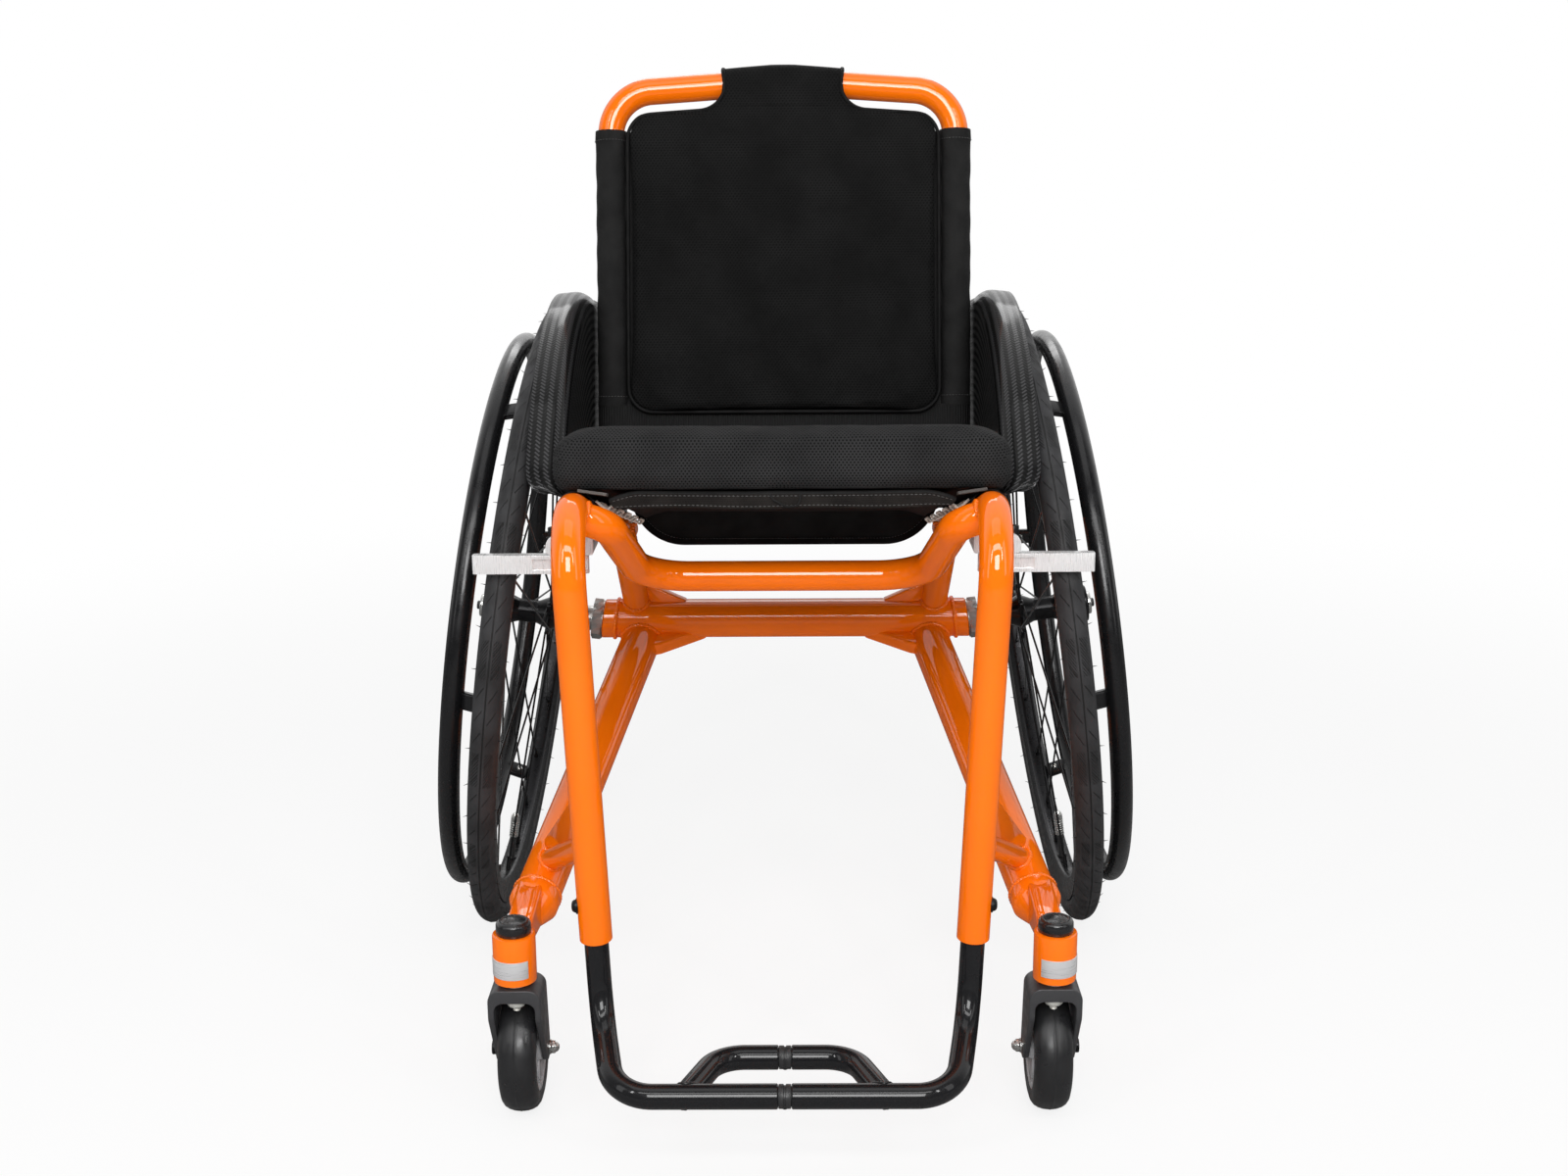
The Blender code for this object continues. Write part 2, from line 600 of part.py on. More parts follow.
brace_root = DOWN_START.lerp(DOWN_END, BRACE_ALONG) + Vector((0.001, 0, 0.005))
brace_head = leg(BRACE_LEG_Z)
brace = rod(brace_root, brace_head, BRACE_R, 10)
flat = Vector((brace_head.x - brace_root.x, brace_head.y - brace_root.y, 0))
rise = brace_head.z - brace_root.z
plate = slab([(-0.002, 0.010), (flat.length, rise - 0.002), (flat.length, rise + 0.052), (-0.002, 0.019)],
             -BRACE_PLATE / 2, BRACE_PLATE / 2, "Y")
moved(plate, Matrix.Translation(brace_root) @ Matrix.Rotation(atan2(flat.y, flat.x), 4, "Z"))
brace = join(brace, plate)
brace = cut(brace, down_bar(BIG_TUBE_R + GAP), side_tube(TUBE_R + GAP))
finish_pair(brace, "leg_brace", ORANGE)


# Camber plugs, axle pins and their release buttons, in the wheel's own frame: +X runs
# outboard along the axle, and the origin is the wheel's centre

tube_end = Vector((AXLE_TUBE_HALF - WHEEL_X, 0, AXLE_TUBE_Z - WHEEL_Z))
PLUG_FACE = tube_end.x * cos(CAMBER) + tube_end.z * sin(CAMBER)      # where the axle tube ends
plug_out = -HUB_INNER_END - HUB_END_GAP
insert_r = BIG_TUBE_R - AXLE_TUBE_WALL - 0.0040
axle_bore = AXLE_R + RUN
plug = turned([(axle_bore, PLUG_FACE - PLUG_INSERT), (insert_r, PLUG_FACE - PLUG_INSERT),
               (insert_r, PLUG_FACE + GAP), (PLUG_SLEEVE_R, PLUG_FACE + GAP),
               (PLUG_SLEEVE_R, plug_out), (axle_bore, plug_out)], 16)
nut_r = PLUG_NUT_ACROSS_FLATS / 2 / cos(pi / 6)
nut = turned([(insert_r - 0.001, PLUG_FACE + GAP), (nut_r - 0.001, PLUG_FACE + GAP),
              (nut_r, PLUG_FACE + 0.0015), (nut_r, PLUG_FACE + PLUG_NUT_LENGTH - 0.001),
              (nut_r - 0.001, PLUG_FACE + PLUG_NUT_LENGTH),
              (insert_r - 0.001, PLUG_FACE + PLUG_NUT_LENGTH)], 6)
axle_frames = paired_empties("axle", (WHEEL_X, 0, WHEEL_Z), (0, -CAMBER, 0))
finish_pair(along_x(join(plug, nut)), "camber_plug", STEEL, axle_frames)

head_face = HUB_OUTER_END + HUB_END_GAP
head_end = head_face + AXLE_HEAD_LENGTH
button_depth = 0.007
pin = turned([(0, PLUG_FACE - PLUG_INSERT + 0.002), (AXLE_R - 0.001, PLUG_FACE - PLUG_INSERT + 0.002),
              (AXLE_R, PLUG_FACE - PLUG_INSERT + 0.004), (AXLE_R, head_face), (AXLE_HEAD_R, head_face),
              (AXLE_HEAD_R, head_end - 0.001), (AXLE_HEAD_R - 0.001, head_end),
              (BUTTON_R + GAP, head_end), (BUTTON_R + GAP, head_end - button_depth),
              (0, head_end - button_depth)], 16, closed=False)
finish_pair(along_x(pin), "axle_pin", STEEL, axle_frames)

button_foot = head_end - button_depth + BUTTON_STANDS
button = turned([(0, button_foot), (BUTTON_R, button_foot), (BUTTON_R, head_end + BUTTON_STANDS - 0.001),
                 (BUTTON_R - 0.001, head_end + BUTTON_STANDS), (0, head_end + BUTTON_STANDS)],
                16, closed=False)
finish_pair(along_x(button), "release_button", BLACK_PLASTIC, axle_frames)


# Rear wheels: tyre, rim, hub with laced spokes, and pushrim

wheel_frames = paired_empties("wheel_spin", (WHEEL_X, 0, WHEEL_Z), (0, -CAMBER, 0))
section_sides = 8
ring_r = TYRE_R - TYRE_SECTION_R
section = [(ring_r + TYRE_SECTION_R * cos(2 * pi * k / section_sides),
            TYRE_SECTION_R * sin(2 * pi * k / section_sides)) for k in range(section_sides)]
finish_pair(along_x(turned(section, WHEEL_STEPS)), "tyre", TYRE_RUBBER, wheel_frames, 60)

hook = RIM_HALF_WIDTH - 0.001
bed = ring_r - TYRE_SECTION_R - 0.0005
half_rim = [(RIM_INNER_R, 0.006), (RIM_OUTER_R - 0.0135, RIM_HALF_WIDTH - 0.0005),
            (RIM_OUTER_R, RIM_HALF_WIDTH), (RIM_OUTER_R, hook), (bed, 0.006)]
rim_profile = half_rim + [(r, -s) for r, s in reversed(half_rim)]
finish_pair(along_x(turned(rim_profile, WHEEL_STEPS)), "rim", BLACK_ANODISED, wheel_frames, 40)


def star_flange(middle, turn):
    """A flange of rounded arms, each with a slot, cut from plate."""
    curve = bpy.data.curves.new("flange", "CURVE")
    curve.dimensions = "2D"
    curve.fill_mode = "BOTH"
    curve.extrude = FLANGE_THICKNESS / 2
    valley = HUB_BARREL_R + 0.003
    mean, swing = (FLANGE_R + valley) / 2, (FLANGE_R - valley) / 2
    loops = [[]]
    for k in range(4 * FLANGE_ARMS):
        angle = 2 * pi * k / (4 * FLANGE_ARMS)
        reach = mean + swing * cos(FLANGE_ARMS * angle)
        loops[0].append((reach * cos(angle + turn), reach * sin(angle + turn)))
    for k in range(FLANGE_ARMS):
        angle = 2 * pi * k / FLANGE_ARMS + turn
        slot = []
        for j in range(5):
            along = mean - 0.001 + 0.0042 * cos(0.4 * pi * j)
            across = 0.0026 * sin(0.4 * pi * j)
            slot.append((along * cos(angle) - across * sin(angle),
                         along * sin(angle) + across * cos(angle)))
        loops.append(slot)
    for loop in loops:
        spline = curve.splines.new("POLY")
        spline.use_cyclic_u = True
        spline.points.add(len(loop) - 1)
        for point, (a, b) in zip(spline.points, loop):
            point.co = (a, b, 0.0, 1.0)
    return shifted(settled(as_object(curve)), z=middle)


def spokes():
    """Straight spokes, laced to cross their neighbours, ending just short of the rim."""
    shape = bmesh.new()
    seat_r = (RIM_INNER_R - GAP) * cos(pi / WHEEL_STEPS) - 0.0002
    for side in (-1, 1):
        for arm in range(FLANGE_ARMS):
            angle = 2 * pi * arm / FLANGE_ARMS + (side > 0) * pi / FLANGE_ARMS
            for lead in (-1, 1):
                start = Vector(((FLANGE_R - 0.004) * cos(angle + lead * 0.10),
                                (FLANGE_R - 0.004) * sin(angle + lead * 0.10),
                                side * FLANGE_OFFSET + lead * 0.0018))
                far = angle + lead * SPOKE_SWEEP
                end = Vector((seat_r * cos(far), seat_r * sin(far), side * 0.001))
                made = bmesh.ops.create_cone(shape, cap_ends=True, segments=4, radius1=SPOKE_R,
                                             radius2=SPOKE_R, depth=(end - start).length)
                turn = (end - start).to_track_quat("Z", "Y").to_matrix().to_4x4()
                bmesh.ops.transform(shape, matrix=Matrix.Translation((start + end) / 2) @ turn,
                                    verts=made["verts"])
    return from_bmesh(shape)


half_hub = [(HUB_BARREL_R, 0.012), (HUB_BARREL_R + 0.002, 0.022), (HUB_BARREL_R + 0.002, 0.036)]
hub_profile = ([(axle_bore, -HUB_INNER_END), (HUB_BARREL_R - 0.001, -HUB_INNER_END)]
               + [(r, -s) for r, s in reversed(half_hub)] + half_hub
               + [(HUB_BARREL_R - 0.001, HUB_OUTER_END), (axle_bore, HUB_OUTER_END)])
hub = join(turned(hub_profile, 16), star_flange(-FLANGE_OFFSET, 0.0),
           star_flange(FLANGE_OFFSET, pi / FLANGE_ARMS), spokes())
flange_bore = rod((0, 0, -0.08), (0, 0, 0.08), axle_bore, 16)
finish_pair(along_x(cut(hub, flange_bore)), "hub_and_spokes", BLACK_ANODISED, wheel_frames, 30)

pushrim_sides = 8
pushrim = turned([(PUSHRIM_R + PUSHRIM_TUBE_R * cos(2 * pi * k / pushrim_sides),
                   PUSHRIM_OFFSET + PUSHRIM_TUBE_R * sin(2 * pi * k / pushrim_sides))
                  for k in range(pushrim_sides)], WHEEL_STEPS)
slope = Vector((RIM_OUTER_R - 0.0135 - RIM_INNER_R, RIM_HALF_WIDTH - 0.0065)).normalized()
seat = Vector((RIM_INNER_R, 0.006)) + Vector((-slope.y, slope.x)) * 0.0008
tab_outline = [seat + slope * 0.0015, seat + slope * 0.0085,
               Vector((PUSHRIM_R + 0.0015, PUSHRIM_OFFSET - 0.006)),
               Vector((PUSHRIM_R - 0.0055, PUSHRIM_OFFSET - 0.006))]
for k in range(PUSHRIM_TABS):
    tab = slab(tab_outline, -TAB_WIDTH / 2, TAB_WIDTH / 2, "Y")
    moved(tab, Matrix.Rotation(2 * pi * (k + 0.5) / PUSHRIM_TABS, 4, "Z"))
    pushrim = join(pushrim, tab)
finish_pair(along_x(pushrim), "pushrim", BLACK_COAT, wheel_frames, 60)


# Casters: fork and stem turn on the swivel axis, the wheel on its bolt

swivels = paired_empties("caster_swivel", (CASTER_X, STEM_Y, 0))
axles = paired_empties("caster_axle", (0, CASTER_TRAIL, CASTER_R), parents=swivels)

crown_low = CROWN_TOP - CROWN_THICKNESS
front_view = rounded(rectangle(-FORK_WIDTH / 2, FORK_WIDTH / 2, CASTER_R - FORK_LEG_END / 2, CROWN_TOP),
                     (0, 0, 0.010, 0.010), 3, closed=True)
inner_view = rounded(rectangle(-FORK_WIDTH / 2 + FORK_LEG, FORK_WIDTH / 2 - FORK_LEG, -0.01, crown_low),
                     (0, 0, 0.007, 0.007), 3, closed=True)
side_view = rounded([(-FORK_DEPTH / 2, CROWN_TOP + 0.01), (-FORK_DEPTH / 2, crown_low - 0.014),
                     (CASTER_TRAIL - FORK_LEG_END / 2, CASTER_R - FORK_LEG_END / 2),
                     (CASTER_TRAIL + FORK_LEG_END / 2, CASTER_R - FORK_LEG_END / 2),
                     (FORK_DEPTH / 2 + 0.006, CROWN_TOP + 0.01)],
                    (0, 0.012, 0.006, 0.006, 0), 3, closed=True)
fork = slab(front_view, -0.06, 0.06, "Y")
fork = cut(fork, slab(inner_view, -0.07, 0.07, "Y"))
fork = boolean(fork, slab(side_view, -0.06, 0.06, "X"), "INTERSECT")
fork = cut(fork, rod((0, 0, 0.09), (0, 0, 0.13), STEM_R + GAP + 0.0002),
           rod((-0.04, CASTER_TRAIL, CASTER_R), (0.04, CASTER_TRAIL, CASTER_R), CASTER_BOLT_R + 0.0005))
finish_pair(fork, "caster_fork", BLACK_COAT, swivels, 40)

stem = turned([(0, crown_low - 0.0113), (0.003, crown_low - 0.0113), (0.003, crown_low - 0.0078),
               (0.0066, crown_low - 0.0072), (0.0082, crown_low - 0.0045), (0.0082, crown_low - GAP),
               (STEM_R, crown_low - GAP),
               (STEM_R, CROWN_TOP + GAP), (0.0095, CROWN_TOP + GAP), (0.0095, HOUSING_LOW - GAP),
               (STEM_R, HOUSING_LOW - GAP), (STEM_R, HOUSING_HIGH - 0.002), (0, HOUSING_HIGH - 0.002)],
              12, closed=False)
finish_pair(stem, "caster_stem", STEEL, swivels)

half_width = CASTER_WIDTH / 2
half_tread = [(CASTER_BEAD_R, half_width), (CASTER_R - 0.009, half_width),
              (CASTER_R - 0.0035, half_width - 0.003), (CASTER_R - 0.0005, half_width - 0.0095)]
tread = half_tread + [(CASTER_R, 0.0)] + [(r, -s) for r, s in reversed(half_tread)]
finish_pair(along_x(turned(tread, CASTER_STEPS)), "caster_tyre", CASTER_RUBBER, axles, 50)

half_boss = FORK_WIDTH / 2 - FORK_LEG - RUN
half_web = [(CASTER_BOLT_R + 0.0004, half_boss), (0.0095, half_boss), (0.0110, half_boss - 0.004),
            (CASTER_BEAD_R - GAP, half_width - 0.001)]
web = half_web + [(r, -s) for r, s in reversed(half_web)]
finish_pair(along_x(turned(web, CASTER_STEPS)), "caster_hub", GREY_PLASTIC, axles, 30)

bolt_end = FORK_WIDTH / 2 + GAP
bolt = turned([(0, -bolt_end - 0.0075), (0.0035, -bolt_end - 0.0070), (0.0058, -bolt_end - 0.0045),
               (0.0062, -bolt_end), (CASTER_BOLT_R, -bolt_end), (CASTER_BOLT_R, bolt_end),
               (0.0065, bolt_end), (0.0060, bolt_end + 0.003), (0.004, bolt_end + 0.004),
               (0, bolt_end + 0.004)], 12, closed=False)
finish_pair(along_x(bolt), "caster_bolt", STEEL, axles)

cap = turned([(0, HOUSING_HIGH + GAP), (CAP_R, HOUSING_HIGH + GAP),
              (CAP_R, HOUSING_HIGH + CAP_HEIGHT - 0.002),
              (CAP_R - 0.002, HOUSING_HIGH + CAP_HEIGHT), (0, HOUSING_HIGH + CAP_HEIGHT - 0.0015)],
             16, closed=False)
finish_pair(shifted(cap, CASTER_X, STEM_Y), "stem_cap", BLACK_PLASTIC)


# Footrest: two bent halves that telescope in the legs, joined by inner sleeves

foot_bend = leg(FOOT_BEND_Z)
foot_corner = Vector((FOOT_CORNER_X, -FOOT_REACH, FOOT_BAR_Z))
foot_end = Vector((FOOT_SPLIT / 2, -FOOT_REACH, FOOT_BAR_Z))
foot_top = leg(LEG_END_Z + FOOT_INSERT)
foot_path = rounded((foot_top, foot_bend, foot_corner, foot_end), (0, 0.030, 0.035, 0), 6)
footrest = tube(foot_path, FOOT_TUBE_R)
rear_points = (Vector((REAR_BAR_ROOT_X, -FOOT_REACH + 0.003, FOOT_BAR_Z - 0.0003)),
               Vector((REAR_BAR_CORNER_X, REAR_BAR_Y, REAR_BAR_Z)),
               Vector((FOOT_SPLIT / 2, REAR_BAR_Y, REAR_BAR_Z)))
rear_bar = tube(rounded(rear_points, (0, 0.030, 0), 5), FOOT_TUBE_R)
front_bore = rod(foot_end - Vector((0.01, 0, 0)), foot_end + Vector((FRONT_JOINER_HALF + 0.004, 0, 0)),
                 JOINER_R + RUN)
rear_end = rear_points[2]
rear_bore = rod(rear_end - Vector((0.01, 0, 0)), rear_end + Vector((REAR_JOINER_HALF - 0.001, 0, 0)),
                JOINER_R + RUN)
finish_pair(cut(join(footrest, rear_bar), front_bore, rear_bore), "footrest", BLACK_COAT)
front_joiner = rod((-FRONT_JOINER_HALF, -FOOT_REACH, FOOT_BAR_Z),
                   (FRONT_JOINER_HALF, -FOOT_REACH, FOOT_BAR_Z), JOINER_R)
finish(front_joiner, "front_joining_sleeve", BLACK_PLASTIC)
rear_joiner = rod((-REAR_JOINER_HALF, REAR_BAR_Y, REAR_BAR_Z), (REAR_JOINER_HALF, REAR_BAR_Y, REAR_BAR_Z),
                  JOINER_R)
finish(rear_joiner, "rear_joining_sleeve", BLACK_PLASTIC)


# Seat, in the rails' own slope: places are (x, height above the rails' middle) along the rails

SLOPE = Matrix.Rotation(-SEAT_DUMP, 4, "X")


def on_slope(item):
    """Moves a shape drawn level, at its rail height 0 and y along the chair, onto the slope."""
    lift = rail(0.0).z
    return moved(item, Matrix.Translation((0, 0, lift)) @ SLOPE)


def sloped(y):
    """The distance along the slope of a point this far behind the axle."""
    return y / cos(SEAT_DUMP)


cover_r = TUBE_R + 2 * GAP + 0.0003
cover_out = cover_r + COVER_WALL
cover_steps = 5
arc = [radians(35 + 125 * k / cover_steps) for k in range(cover_steps + 1)]
cover_x = (rail(SLING_FRONT_Y).x + rail(SLING_REAR_Y).x) / 2
cover_outline = ([(cover_x + cover_out * cos(a), cover_out * sin(a)) for a in arc]
                 + [(cover_x + cover_r * cos(a), cover_r * sin(a)) for a in reversed(arc)])
rail_cover = on_slope(slab(cover_outline, sloped(SLING_FRONT_Y), sloped(SLING_REAR_Y), "Y"))
finish_pair(rail_cover, "rail_cover", WOVEN)

sling_top = cover_out
edge_drop = 0.0065
across = [(-SLING_HALF_WIDTH, sling_top - edge_drop), (-SLING_HALF_WIDTH + 0.022, sling_top),
          (SLING_HALF_WIDTH - 0.022, sling_top), (SLING_HALF_WIDTH, sling_top - edge_drop)]
sling_outline = across + [(x, n - SLING_THICKNESS) for x, n in reversed(across)]
sling = slab(sling_outline, sloped(SLING_FRONT_Y), sloped(SLING_REAR_Y), "Y")
hem_outline = across + [(SLING_HALF_WIDTH - 0.004, sling_top - SLING_HEM),
                        (-SLING_HALF_WIDTH + 0.004, sling_top - SLING_HEM)]
hem = slab(hem_outline, sloped(SLING_FRONT_Y) - 0.0005, sloped(SLING_FRONT_Y) + SLING_THICKNESS, "Y")
finish(on_slope(join(sling, hem)), "seat_sling", WOVEN)

lace_out_x = cover_x - cover_out - GAP - LACE_R
lace_in_x = SLING_HALF_WIDTH - 0.001
lace_low = sling_top - edge_drop - SLING_THICKNESS - GAP - LACE_R
lace = []
lace_start, lace_end = sloped(SLING_FRONT_Y) + 0.008, sloped(SLING_REAR_Y) - 0.004
for k in range(2 * LACE_TURNS + 1):
    along = lace_start + (lace_end - lace_start) * k / (2 * LACE_TURNS)
    lace.append((lace_in_x if k % 2 else lace_out_x, along, lace_low))
lace_path = rounded(lace, 0.0016, 1)
finish_pair(on_slope(tube(lace_path, LACE_R, 6)), "seat_lacing", CORD, smooth=60)

cushion_low = cover_out + 2 * GAP
cushion_outline = rounded(rectangle(-CUSHION_WIDTH / 2, CUSHION_WIDTH / 2, sloped(CUSHION_FRONT_Y),
                                    sloped(CUSHION_REAR_Y)), 0.022, 3, closed=True)
cushion = slab(cushion_outline, cushion_low, cushion_low + CUSHION_THICKNESS, "Z")
finish(on_slope(bevelled(cushion, 0.008, 2, 60)), "seat_cushion", MESH_CLOTH, smooth=50)


# Back, in its own frame: the origin is the hinge, +Z runs up the leaning posts, -Y forwards

back_hinge = empty("back_hinge", (0, HINGE_Y, HINGE_Z), (-BACK_LEAN, 0, 0), CHAIR)

hoop_corner = HOOP_TOP - POST_X * tan(HOOP_CROWN)
hoop_path = rounded([(POST_X, 0, POST_FOOT), (POST_X, 0, hoop_corner), (0, 0, HOOP_TOP),
                     (-POST_X, 0, hoop_corner), (-POST_X, 0, POST_FOOT)],
                    (0, HOOP_BEND_R, 0.25, HOOP_BEND_R, 0), 6)
lug_outline = rounded([(-0.0085, POST_FOOT + 0.012), (-LUG_R, -LUG_R), (LUG_R, -LUG_R),
                       (0.0085, POST_FOOT + 0.012)], (0, LUG_R * 0.9, LUG_R * 0.9, 0), 4, closed=True)


def lug():
    plate = slab(lug_outline, POST_X - LUG_THICKNESS / 2, POST_X + LUG_THICKNESS / 2, "X")
    hole = rod((POST_X - 0.02, 0, 0), (POST_X + 0.02, 0, 0), HINGE_PIN_R + RUN)
    return cut(plate, hole)


left_lug = lug()
hoop = join(tube(hoop_path, TUBE_R), mirrored_copy(left_lug), left_lug)
finish(hoop, "back_hoop", ORANGE, back_hinge)

sheet_back = -SHEET_OFFSET
sheet_front = -SHEET_OFFSET - SHEET_THICKNESS
tail = slab(rounded([(-TAIL_HALF_WIDTH, SLEEVE_LOW + 0.01), (-TAIL_HALF_WIDTH, TAIL_LOW),
                     (TAIL_HALF_WIDTH, TAIL_LOW), (TAIL_HALF_WIDTH, SLEEVE_LOW + 0.01)],
                    (0, 0.050, 0.050, 0), 4, closed=True), sheet_front, sheet_back, "Y")
sheet = slab(rounded(rectangle(-POST_X, POST_X, SLEEVE_LOW, SLEEVE_HIGH), 0, 1, closed=True),
             sheet_front, sheet_back, "Y")
back_cover = join(sheet, tail)
for side in (-1, 1):
    back_cover = join(back_cover, rod((side * POST_X, 0, SLEEVE_LOW), (side * POST_X, 0, SLEEVE_HIGH),
                                      cover_out))
for side in (-1, 1):
    back_cover = cut(back_cover, rod((side * POST_X, 0, SLEEVE_LOW - 0.02),
                                     (side * POST_X, 0, SLEEVE_HIGH + 0.02), cover_r))
finish(back_cover, "back_cover", WOVEN, back_hinge)

pad_back = sheet_front - GAP
pad_front = pad_back - PAD_THICKNESS
half_pad = [(PAD_HALF_WIDTH, PAD_LOW), (PAD_HALF_WIDTH, 0.3130), (0.0940, 0.3285),
            (NECK_HALF_WIDTH, 0.3420)]
pad_points = half_pad + [(-x, z) for x, z in reversed(half_pad)]
pad = slab(rounded(pad_points, (0.024, 0.020, 0.020, 0, 0, 0.020, 0.020, 0.024), 3, closed=True),
           pad_front, pad_back, "Y")
neck_top = HOOP_TOP + TUBE_R + 0.002
neck_back = TUBE_R + 0.0035
neck_outline = rounded([(pad_front, 0.325), (pad_front + 0.0095, 0.325), (-0.0100, 0.338),
                        (-0.0100, HOOP_TOP), (0.0100, HOOP_TOP), (0.0115, 0.300), (neck_back, 0.300),
                        (neck_back, neck_top), (-neck_back, neck_top), (pad_front, 0.345)],
                       (0, 0, 0, 0, 0, 0, 0, 0.012, 0.012, 0.006), 3, closed=True)
neck = slab(neck_outline, -NECK_HALF_WIDTH, NECK_HALF_WIDTH, "X")
pad = cut(join(pad, neck), tube(hoop_path, TUBE_R + GAP))
finish(pad, "back_pad", MESH_CLOTH, back_hinge, 50)


# Hinge brackets on the rails' rear ends, each with its pin

ear_in = POST_X - LUG_THICKNESS / 2 - GAP
ear_out = POST_X + LUG_THICKNESS / 2 + GAP
ear_r = LUG_R + 0.001
bracket_foot = rail(HINGE_Y).z
bracket_outline = rounded([(HINGE_Y - 0.0205, bracket_foot + 0.008),
                           (HINGE_Y + 0.0205, bracket_foot - 0.002),
                           (HINGE_Y + 0.0165, HINGE_Z - 0.020), (HINGE_Y + ear_r, HINGE_Z + ear_r),
                           (HINGE_Y - ear_r, HINGE_Z + ear_r), (HINGE_Y - 0.0165, HINGE_Z - 0.020)],
                          (0, 0, 0.01, ear_r * 0.95, ear_r * 0.95, 0.01), 4, closed=True)
bracket = slab(bracket_outline, ear_in - EAR, ear_out + EAR, "X")
slot = slab(rectangle(HINGE_Y - 0.05, HINGE_Y + 0.05, HINGE_Z - LUG_R - 0.010, HINGE_Z + 0.05),
            ear_in, ear_out, "X")
pin_start = ear_in - EAR - 0.0015
pin_end = ear_out + EAR + 0.0015
bracket = cut(bracket, slot, side_tube(TUBE_R + GAP))
bracket = join(bracket, rod((pin_start, HINGE_Y, HINGE_Z), (pin_end, HINGE_Y, HINGE_Z), HINGE_PIN_R))
finish_pair(bracket, "hinge_bracket", BLACK_ANODISED)


# Side guards: a panel inside each wheel whose top rolls outwards into a fender

def guard_sheet():
    shape = bmesh.new()
    fender_r = TYRE_R + GUARD_CLEARANCE
    front_angle = acos((rail(GUARD_FRONT_FOOT_Y).z + GUARD_NOSE - WHEEL_Z) / fender_r)
    steps = 15
    rows = []
    for k in range(steps + 1):
        share = k / steps
        angle = GUARD_REAR_ANGLE + (front_angle - GUARD_REAR_ANGLE) * share
        foot_y = GUARD_REAR_FOOT_Y + (GUARD_FRONT_FOOT_Y - GUARD_REAR_FOOT_Y) * share
        foot = Vector((GUARD_X, foot_y, rail(foot_y).z - 0.002))
        narrowing = max(0.0, (share - 0.45) / 0.55) ** 1.6
        fender_x = FENDER_OUT_TOP + (FENDER_OUT_FRONT - FENDER_OUT_TOP) * narrowing
        outward = Vector((0, -sin(angle), cos(angle)))
        hub_line = Vector((0, 0, WHEEL_Z))
        roll = min(0.017, (fender_x - GUARD_X) * 0.55)
        row = [foot,
               hub_line + outward * (fender_r - roll) + Vector((GUARD_X, 0, 0)),
               hub_line + outward * (fender_r - roll * 0.29) + Vector((GUARD_X + roll * 0.29, 0, 0)),
               hub_line + outward * fender_r + Vector((GUARD_X + roll, 0, 0)),
               hub_line + outward * (fender_r - 0.0015) + Vector((fender_x, 0, 0))]
        rows.append([shape.verts.new(point) for point in row])
    for low, high in zip(rows, rows[1:]):
        for k in range(len(low) - 1):
            shape.faces.new((low[k], low[k + 1], high[k + 1], high[k]))
    bmesh.ops.recalc_face_normals(shape, faces=shape.faces)
    mesh = bpy.data.meshes.new("work")
    shape.to_mesh(mesh)
    shape.free()
    item = as_object(mesh)
    inward = mesh.polygons[0].normal.x < 0
    modifier = item.modifiers.new("wall", "SOLIDIFY")
    modifier.thickness = GUARD_THICKNESS
    modifier.offset = -1.0 if inward else 1.0
    modifier.use_even_offset = True
    return settled(item)


guard = guard_sheet()
for y in (GUARD_FRONT_FOOT_Y + STANDOFF_FRONT_IN, STANDOFF_REAR_Y):
    place = rail(y)
    standoff = rod((place.x, y, place.z - 0.004), (GUARD_X + 0.001, y, place.z - 0.004), STANDOFF_R, 10)
    guard = join(guard, cut(standoff, side_tube(TUBE_R + GAP)))
finish_pair(guard, "side_guard", CARBON)


# Wheel locks: a milled clamp under each rail, and a bar that swings in front of the tyre

lock_front = LOCK_BACK_Y - LOCK_DEPTH
lock_low, lock_high = LOCK_Z - LOCK_HEIGHT / 2, LOCK_Z + LOCK_HEIGHT / 2
pivot_y = LOCK_BACK_Y - LOCK_DEPTH / 2
clamp_low = lock_high + GAP
clamp_front, clamp_back = lock_front, lock_front + CLAMP_LENGTH
saddle = rail((clamp_front + clamp_back) / 2)
clamp_outline = rounded([(CLAMP_INNER_X, clamp_low), (CLAMP_OUTER_X, clamp_low),
                         (CLAMP_OUTER_X, clamp_low + 0.014),
                         (saddle.x + TUBE_R + 0.004, clamp_low + 0.020),
                         (saddle.x + TUBE_R + 0.004, saddle.z - 0.003), (CLAMP_INNER_X, saddle.z - 0.003)],
                        (0.002, 0.002, 0.010, 0.003, 0, 0), 3, closed=True)
clamp = slab(clamp_outline, clamp_front, clamp_back, "Y")
clamp = cut(clamp, side_tube(TUBE_R + GAP))
lock_pin = turned([(0, lock_low - 0.004), (0.0055, lock_low - 0.004), (0.0065, lock_low - 0.003),
                   (0.0065, lock_low - GAP), (LOCK_PIN_R, lock_low - GAP),
                   (LOCK_PIN_R, clamp_low + 0.004), (0, clamp_low + 0.004)], 12, closed=False)
clamp = join(clamp, shifted(lock_pin, LOCK_PIVOT_X, pivot_y))
finish_pair(clamp, "lock_clamp", BRIGHT)

